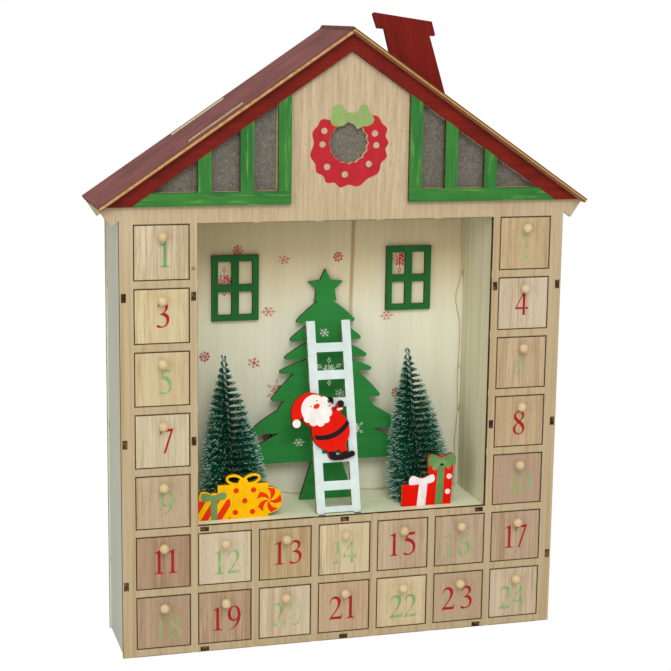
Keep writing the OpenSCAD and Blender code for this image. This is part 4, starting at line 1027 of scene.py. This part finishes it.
def bristle_nodes():
    """Puts a tapered bristle on each point, turned along its aim and stretched by its reach."""
    tree = bpy.data.node_groups.new("Bristles on points", "GeometryNodeTree")
    tree.is_modifier = True
    face = tree.interface
    face.new_socket("Points", in_out="INPUT", socket_type="NodeSocketGeometry")
    for name, kind in (("Thickness", "NodeSocketFloat"), ("Bend", "NodeSocketFloat"),
                       ("Seed", "NodeSocketInt"), ("Material", "NodeSocketMaterial")):
        face.new_socket(name, in_out="INPUT", socket_type=kind)
    face.new_socket("Brush", in_out="OUTPUT", socket_type="NodeSocketGeometry")

    def put(kind, values=None, **settings):
        node = tree.nodes.new(kind)
        for key, value in settings.items():
            setattr(node, key, value)
        for key, value in (values or {}).items():
            if isinstance(value, bpy.types.NodeSocket):
                tree.links.new(value, node.inputs[key])
            else:
                node.inputs[key].default_value = value
        return node

    given = put("NodeGroupInput")
    middle = put("ShaderNodeCombineXYZ", {"X": given.outputs["Bend"], "Z": 0.55})
    strand = put("GeometryNodeCurveQuadraticBezier",
                 {"Resolution": 3, "Start": (0, 0, 0), "Middle": middle.outputs[0], "End": (0, 0, 1)})
    part = put("GeometryNodeSplineParameter")
    taper = put("ShaderNodeMapRange", {"Value": part.outputs["Factor"], "To Min": 1.0, "To Max": 0.55})
    thick = put("ShaderNodeMath", {0: taper.outputs[0], 1: given.outputs["Thickness"]}, operation="MULTIPLY")
    stored = put("GeometryNodeStoreNamedAttribute",
                 {"Geometry": strand.outputs[0], "Name": "tip", "Value": part.outputs["Factor"]},
                 data_type="FLOAT", domain="POINT")
    sized = put("GeometryNodeSetCurveRadius", {"Curve": stored.outputs[0], "Radius": thick.outputs[0]})
    round_ = put("GeometryNodeCurvePrimitiveCircle", {"Resolution": 3, "Radius": 1.0})
    body = put("GeometryNodeCurveToMesh", {"Curve": sized.outputs[0], "Profile Curve": round_.outputs[0],
                                           "Fill Caps": False})
    # In 4.5 the profile may take its scale from an input of its own
    if "Scale" in body.inputs:
        tree.links.new(thick.outputs[0], body.inputs["Scale"])
    aim = put("GeometryNodeInputNamedAttribute", {"Name": "aim"}, data_type="FLOAT_VECTOR")
    turn = put("FunctionNodeAlignRotationToVector", {"Vector": aim.outputs[0]}, axis="Z")
    reach = put("GeometryNodeInputNamedAttribute", {"Name": "reach"}, data_type="FLOAT")
    chance = put("FunctionNodeRandomValue", {"Seed": given.outputs["Seed"]}, data_type="FLOAT")
    # The frosted bristles, those of a low chance, are the thicker ones
    width = put("ShaderNodeMapRange", {"Value": chance.outputs[1], "From Min": 0.1, "From Max": 0.35,
                                       "To Min": 1.6, "To Max": 1.0})
    size = put("ShaderNodeCombineXYZ", {"X": width.outputs[0], "Y": width.outputs[0],
                                        "Z": reach.outputs[0]})
    spread = put("GeometryNodeInstanceOnPoints",
                 {"Points": given.outputs["Points"], "Instance": body.outputs[0],
                  "Rotation": turn.outputs[0], "Scale": size.outputs[0]})
    frost = put("GeometryNodeStoreNamedAttribute",
                {"Geometry": spread.outputs[0], "Name": "chance", "Value": chance.outputs[1]},
                data_type="FLOAT", domain="INSTANCE")
    real = put("GeometryNodeRealizeInstances", {"Geometry": frost.outputs[0]})
    done = put("GeometryNodeSetMaterial",
               {"Geometry": real.outputs[0], "Material": given.outputs["Material"]})
    put("NodeGroupOutput", {"Brush": done.outputs[0]})
    return tree


def bristle_look(settings):
    """Dark green fibres with frosted tips."""
    look = Look("bristles", 0.6, 0.12)
    tip = look.put("ShaderNodeAttribute", attribute_name="tip").outputs["Fac"]
    chance = look.put("ShaderNodeAttribute", attribute_name="chance").outputs["Fac"]
    green = look.mix(chance, srgb(0, 38, 26), srgb(*rgb(settings.bristle_green)))
    # Only the tips are frosted, but between these heights the frost spreads to whole bristles
    top_from, top_to = 0.178, 0.201
    high = look.step(look.z, top_from, top_to)
    start = look.step(chance, 0, 0.45, 0.86, 0.97)
    start = look.math("SUBTRACT", start, look.math("MULTIPLY", high, 0.12))
    white = look.math("MULTIPLY", look.math("GREATER_THAN", tip, start),
                      look.step(look.math("SUBTRACT", chance, high), 0.33, 0.58, 1.0, 0.05))
    look.colour(look.mix(white, green, srgb(*rgb(settings.frost))))
    return look.mat


def wire_look():
    """Bright twisted wire, lighter in spots."""
    look = Look("twisted_wire", 0.3, 0.6)
    look.give(look.bsdf.inputs["Metallic"], 0.35)
    shade = look.noise((900, 900, 500), 2.0, 2)
    look.colour(look.mix(look.step(shade, 0.35, 0.65), srgb(206, 214, 210), srgb(255, 255, 255)))
    return look.mat


def tube(points, radius, sides=6):
    """Rings of vertices round a path, and the polygons between them, with closed ends."""
    verts, polygons = [], []
    for i, p in enumerate(points):
        a, b = points[max(i - 1, 0)], points[min(i + 1, len(points) - 1)]
        axis = (b - a).normalized()
        side = axis.cross(Vector((0.3, 1, 0.1))).normalized()
        up = axis.cross(side)
        for k in range(sides):
            t = 2 * math.pi * k / sides
            verts.append(p + radius * (math.cos(t) * side + math.sin(t) * up))
    for i in range(len(points) - 1):
        for k in range(sides):
            n = (k + 1) % sides
            polygons.append((i * sides + k, i * sides + n, (i + 1) * sides + n, (i + 1) * sides + k))
    polygons.append(tuple(range(sides))[::-1])
    polygons.append(tuple((len(points) - 1) * sides + k for k in range(sides)))
    return verts, polygons


def grow_bristles(side, placed, tilt, twist, begin, count):
    """Where each bristle starts, its aim and its length, in rows that wind up the wire."""
    rng = random.Random(ROW_SEEDS[side])
    points, aims, reaches = [], [], []
    tall, bare, over_top, start_out = BRUSH["tall"], BRUSH["bare"], 1.0, 0.5
    # How far a bristle's azimuth, height and rise scatter
    by_turn, by_height, by_rise = 0.24, 0.22, 0.06
    for i in range(count):
        # The rows get 0.6 less dense from foot to top, so that most bristles are the long low ones
        t = (1 - math.sqrt(1 - 0.84 * (i + 0.5) / count)) / 0.6
        z = bare + (tall - bare - over_top) * t
        a = math.pi * (i % 2) + begin - 2 * math.pi * z / twist + rng.gauss(0, by_turn)
        z = min(max(z + rng.gauss(0, by_height), bare), tall - 1.2)
        length = bristle_reach(z, a) * (1 - 0.2 * rng.random() ** 2) * (1.0 if z > 12 else 0.92)
        # The lowest ones droop, down to the floor at most, and those at the top stand up
        rise = 0.08 * z / tall + rng.gauss(0, by_rise) - 0.03
        rise = max(rise - max(0.0, 0.3 - 0.012 * z), 0.4 / length - z / length)
        rise += 0.12 * max(0.0, z - tall + 7)
        aim = Vector((math.cos(a), math.sin(a), rise)).normalized()
        top = z + aim.z * length
        if top > tall + over_top:
            length *= max(0.3, (tall + over_top - z) / max(top - z, 0.1))
        points.append(placed((start_out * math.cos(a), start_out * math.sin(a), z)))
        aims.append(tilt @ aim)
        reaches.append(length * MM)
    return points, aims, reaches


def build_brush_tree(side, foot_x, lean, twist, begin, settings, group, hair, wire):
    """One tree: its bristles, on points along the wire, and the two twisted wires."""
    tilt = Euler((0, math.radians(-lean), 0)).to_matrix()
    foot = Vector((foot_x, BRUSH["y"], FLOOR_Z + GLUE_GAP + 1.3 * math.sin(math.radians(lean))))

    def placed(p):
        return (foot + tilt @ Vector(p)) * MM

    points, aims, reaches = grow_bristles(side, placed, tilt, twist, begin, settings.bristles)
    mesh = bpy.data.meshes.new(f"brush_points_{side}")
    mesh.from_pydata(points, [], [])
    mesh.attributes.new("aim", "FLOAT_VECTOR", "POINT").data.foreach_set(
        "vector", [c for aim in aims for c in aim])
    mesh.attributes.new("reach", "FLOAT", "POINT").data.foreach_set("value", reaches)
    holder = bpy.data.objects.new(f"brush_points_{side}", mesh)
    bpy.context.scene.collection.objects.link(holder)
    modifier = holder.modifiers.new("Bristles", "NODES")
    modifier.node_group = group
    for name, value in (("Thickness", settings.bristle_radius), ("Bend", BRISTLE_BEND),
                        ("Seed", BRISTLE_SEED), ("Material", hair)):
        modifier[socket_id(group, name)] = value
    holder.update_tag()
    hairs = bpy.data.meshes.new_from_object(
        holder.evaluated_get(bpy.context.evaluated_depsgraph_get()))
    bpy.data.objects.remove(holder)
    bristles = add_object(f"brush_bristles_{side}", hairs, hair)

    verts, polygons = [], []
    for start in (0.0, math.pi):
        turns = []
        for k in range(WIRE_STEPS + 1):
            z = BRUSH["tall"] * k / WIRE_STEPS
            turn = start + begin - 2 * math.pi * z / twist
            out = WIRE_OUT * min(1.0, (BRUSH["tall"] - z) / WIRES_MEET)
            turns.append(placed((out * math.cos(turn), out * math.sin(turn), z)))
        strand, sides = tube(turns, WIRE_RADIUS * MM)
        polygons += [tuple(len(verts) + i for i in side) for side in sides]
        verts += strand
    core = bpy.data.meshes.new("core")
    core.from_pydata(verts, [], polygons)
    for polygon in core.polygons:
        polygon.use_smooth = True
    add_object(f"brush_wire_{side}", core, wire)
    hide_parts(f"brush_tree_{side}")


# View

# The camera as solved from the photo's perspective, in metres, radians and millimetres of lens
CAMERA = {"place": (-0.3303, -1.14175, 0.4441), "turn": (1.3820522, -0.0129395, -0.2796276),
          "lens": 90.56, "sensor": 36.0}
LIGHTS_AIM = (0, 0, 0.2)
# Name, place, size in metres and power in watts
LAMPS = (("key", (-0.15, -1.75, 1.58), 0.9, 18.4), ("fill", (-1.9, -1.5, 0.7), 1.4, 12.5),
         ("top", (-0.2, -0.75, 1.9), 0.8, 2.9))
SOFT_LIGHT = ((1.0, 0.945, 0.81, 1), 0.62)
FLOOR_HALF = 3


def set_camera_and_lamps():
    scene = bpy.context.scene
    camera = bpy.data.cameras.new("photo_camera")
    camera.lens, camera.sensor_width = CAMERA["lens"], CAMERA["sensor"]
    camera.clip_start, camera.clip_end = 0.05, 20.0
    eye = bpy.data.objects.new("photo_camera", camera)
    scene.collection.objects.link(eye)
    eye.location, eye.rotation_euler = CAMERA["place"], CAMERA["turn"]
    scene.camera = eye
    for name, place, size, power in LAMPS:
        light = bpy.data.lights.new(name, "AREA")
        light.energy, light.size = power, size
        lamp = bpy.data.objects.new(name, light)
        scene.collection.objects.link(lamp)
        lamp.location = place
        lamp.rotation_euler = (Vector(LIGHTS_AIM) - Vector(place)).to_track_quat("-Z", "Y").to_euler()
    scene.view_settings.view_transform = "Standard"


def white_to_camera(tree, lit, white, output):
    """Shows the camera plain white where everything else meets the lit shader."""
    tree.nodes.clear()
    seen = tree.nodes.new("ShaderNodeLightPath")
    shaders = []
    for kind, values in (lit, white):
        node = tree.nodes.new(kind)
        for key, value in values.items():
            node.inputs[key].default_value = value
        shaders.append(node)
    blend, out = tree.nodes.new("ShaderNodeMixShader"), tree.nodes.new(output)
    tree.links.new(seen.outputs["Is Camera Ray"], blend.inputs[0])
    tree.links.new(shaders[0].outputs[0], blend.inputs[1])
    tree.links.new(shaders[1].outputs[0], blend.inputs[2])
    tree.links.new(blend.outputs[0], out.inputs[0])


def set_background():
    """A white world and a white floor that still takes and gives soft light."""
    scene = bpy.context.scene
    world = bpy.data.worlds.new("studio")
    world.use_nodes = True
    scene.world = world
    soft = {"Color": SOFT_LIGHT[0], "Strength": SOFT_LIGHT[1]}
    plain = {"Color": (1, 1, 1, 1), "Strength": 1.0}
    white_to_camera(world.node_tree, ("ShaderNodeBackground", soft), ("ShaderNodeBackground", plain),
                    "ShaderNodeOutputWorld")
    mesh = bpy.data.meshes.new("ground")
    corners = [(FLOOR_HALF * x, FLOOR_HALF * y, 0) for x, y in ((-1, -1), (1, -1), (1, 1), (-1, 1))]
    mesh.from_pydata(corners, [], [(0, 1, 2, 3)])
    ground = bpy.data.objects.new("ground", mesh)
    scene.collection.objects.link(ground)
    paper = bpy.data.materials.new("paper")
    paper.use_nodes = True
    white_to_camera(paper.node_tree, ("ShaderNodeBsdfDiffuse", {"Color": (0.8, 0.8, 0.8, 1)}),
                    ("ShaderNodeEmission", {}), "ShaderNodeOutputMaterial")
    mesh.materials.append(paper)


# Add-on

def colour_setting(name, what, shade):
    """A colour of 0 to 255 that the user can change."""
    return bpy.props.FloatVectorProperty(name=name, description=what, subtype="COLOR_GAMMA", size=3,
                                         min=0, max=1, default=[c / 255 for c in shade])


def rgb(setting):
    """A colour setting from 0 to 255."""
    return [255 * c for c in setting]


class AdventHouseSettings(bpy.types.PropertyGroup):
    """The sizes and colours of the finish"""
    digit_height: bpy.props.FloatProperty(
        name="Digit height", description="Height of the printed digits",
        default=0.0173, min=0.01, max=0.022, unit="LENGTH")
    bristles: bpy.props.IntProperty(
        name="Bristles", description="Bristles on each bottle-brush tree",
        default=8400, min=500, max=9000)
    bristle_radius: bpy.props.FloatProperty(
        name="Bristle radius", description="Radius of a bristle at its root",
        default=0.00014, min=0.00005, max=0.0005, precision=5, unit="LENGTH")
    roof_stain: colour_setting("Roof", "Stain of the roof panels", (134, 69, 73))
    barge_stain: colour_setting("Barge board", "Stain of the barge board", (128, 30, 18))
    chimney_stain: colour_setting("Chimney", "Stain of the chimney", (130, 27, 14))
    frame_stain: colour_setting("Gable frames", "Stain of the gable's frames", (58, 126, 54))
    tree_stain: colour_setting("Tree", "Stain of the tree cut-out", (50, 142, 66))
    window_stain: colour_setting("Windows", "Stain of the windows in the scene", (36, 112, 50))
    suit_paint: colour_setting("Suit", "Paint of the climbing figure's suit", (228, 22, 4))
    wreath_paint: colour_setting("Wreath", "Paint of the wreath", (186, 42, 53))
    red_ink: colour_setting("Red numbers", "Ink of the red numbers", (170, 38, 42))
    green_ink: colour_setting("Green numbers", "Ink of the green numbers", (130, 175, 110))
    bristle_green: colour_setting("Bristles' green", "Lightest green of the bristles", (4, 116, 82))
    frost: colour_setting("Frost", "Colour of the bristles' frosted tips", (214, 255, 240))


class ADVENT_OT_stage(bpy.types.Operator):
    """Sets the camera, the lamps, the background and the floor"""
    bl_idname = "advent.stage"
    bl_label = "Set the stage"

    def execute(self, context):
        set_camera_and_lamps()
        set_background()
        return {"FINISHED"}


class ADVENT_OT_case(bpy.types.Operator):
    """Gives the panels, sides, shelves and dividers their plywood"""
    bl_idname = "advent.case"
    bl_label = "Finish the case"

    def execute(self, context):
        finish_case()
        return {"FINISHED"}


class ADVENT_OT_roof(bpy.types.Operator):
    """Stains the roof panels, the barge board and the chimney"""
    bl_idname = "advent.roof"
    bl_label = "Finish the roof"

    def execute(self, context):
        finish_roof(context.scene.advent_house)
        return {"FINISHED"}


class ADVENT_OT_gable(bpy.types.Operator):
    """Stains the gable's frames and gives its film its glitter"""
    bl_idname = "advent.gable"
    bl_label = "Finish the gable"

    def execute(self, context):
        finish_gable(context.scene.advent_house)
        return {"FINISHED"}


class ADVENT_OT_cutouts(bpy.types.Operator):
    """Paints the tree, the windows, the ladder, the figure and the gifts"""
    bl_idname = "advent.cutouts"
    bl_label = "Finish the cut-outs"

    def execute(self, context):
        finish_cutouts(context.scene.advent_house)
        return {"FINISHED"}


class ADVENT_OT_lights(bpy.types.Operator):
    """Gives the light string its wire and its clear drops"""
    bl_idname = "advent.lights"
    bl_label = "Finish the light string"

    def execute(self, context):
        finish_lights()
        return {"FINISHED"}


class ADVENT_OT_drawers(bpy.types.Operator):
    """Gives the drawers their fronts, boxes and knobs, and prints the numbers"""
    bl_idname = "advent.drawers"
    bl_label = "Finish the drawers"

    def execute(self, context):
        finish_drawers()
        print_numbers(context.scene.advent_house)
        return {"FINISHED"}


class ADVENT_OT_wreath(bpy.types.Operator):
    """Paints the wreath and its bow on the gable"""
    bl_idname = "advent.wreath"
    bl_label = "Paint the wreath"

    def execute(self, context):
        print_wreath(context.scene.advent_house)
        return {"FINISHED"}


class ADVENT_OT_snow(bpy.types.Operator):
    """Prints the snowflakes on the rear wall and on the tree"""
    bl_idname = "advent.snow"
    bl_label = "Print the snowflakes"

    def execute(self, context):
        print_snow()
        return {"FINISHED"}


class ADVENT_OT_marks(bpy.types.Operator):
    """Puts dark marks on the niche's floor before the ladder's feet"""
    bl_idname = "advent.marks"
    bl_label = "Mark the ladder's feet"

    def execute(self, context):
        mark_ladder_feet()
        return {"FINISHED"}


class ADVENT_OT_figure(bpy.types.Operator):
    """Paints the climbing figure's beard, belt, mittens and boots"""
    bl_idname = "advent.figure"
    bl_label = "Paint the figure"

    def execute(self, context):
        paint_figure()
        return {"FINISHED"}


class ADVENT_OT_gifts(bpy.types.Operator):
    """Paints the gifts' stripes, dots, ribbons and bows"""
    bl_idname = "advent.gifts"
    bl_label = "Paint the gifts"

    def execute(self, context):
        print_gifts()
        return {"FINISHED"}


class ADVENT_OT_trees(bpy.types.Operator):
    """Builds the two bottle-brush trees from bristles on a twisted wire"""
    bl_idname = "advent.trees"
    bl_label = "Build the brush trees"

    def execute(self, context):
        settings = context.scene.advent_house
        group, hair, wire = bristle_nodes(), bristle_look(settings), wire_look()
        for place in BRUSH_TREES:
            build_brush_tree(*place, settings, group, hair, wire)
        return {"FINISHED"}


class ADVENT_PT_panel(bpy.types.Panel):
    """The house's settings and steps"""
    bl_idname = "ADVENT_PT_panel"
    bl_label = "Advent House"
    bl_space_type = "VIEW_3D"
    bl_region_type = "UI"
    bl_category = "Advent House"

    def draw(self, context):
        settings = context.scene.advent_house
        for name in AdventHouseSettings.__annotations__:
            self.layout.prop(settings, name)
        for step in STEPS:
            self.layout.operator(step.bl_idname)


# In the order in which they run
STEPS = (ADVENT_OT_stage, ADVENT_OT_case, ADVENT_OT_roof, ADVENT_OT_gable, ADVENT_OT_cutouts,
         ADVENT_OT_lights, ADVENT_OT_drawers, ADVENT_OT_wreath, ADVENT_OT_snow, ADVENT_OT_marks,
         ADVENT_OT_figure, ADVENT_OT_gifts, ADVENT_OT_trees)
CLASSES = (AdventHouseSettings,) + STEPS + (ADVENT_PT_panel,)


def register():
    for cls in CLASSES:
        bpy.utils.register_class(cls)
    bpy.types.Scene.advent_house = bpy.props.PointerProperty(type=AdventHouseSettings)


def unregister():
    del bpy.types.Scene.advent_house
    for cls in reversed(CLASSES):
        bpy.utils.unregister_class(cls)


def main():
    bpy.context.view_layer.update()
    register()
    for step in STEPS:
        name = step.bl_idname.split(".")[1]
        if "FINISHED" not in getattr(bpy.ops.advent, name)():
            raise RuntimeError(f"{step.bl_idname} did not finish")


if __name__ == "__main__":
    main()
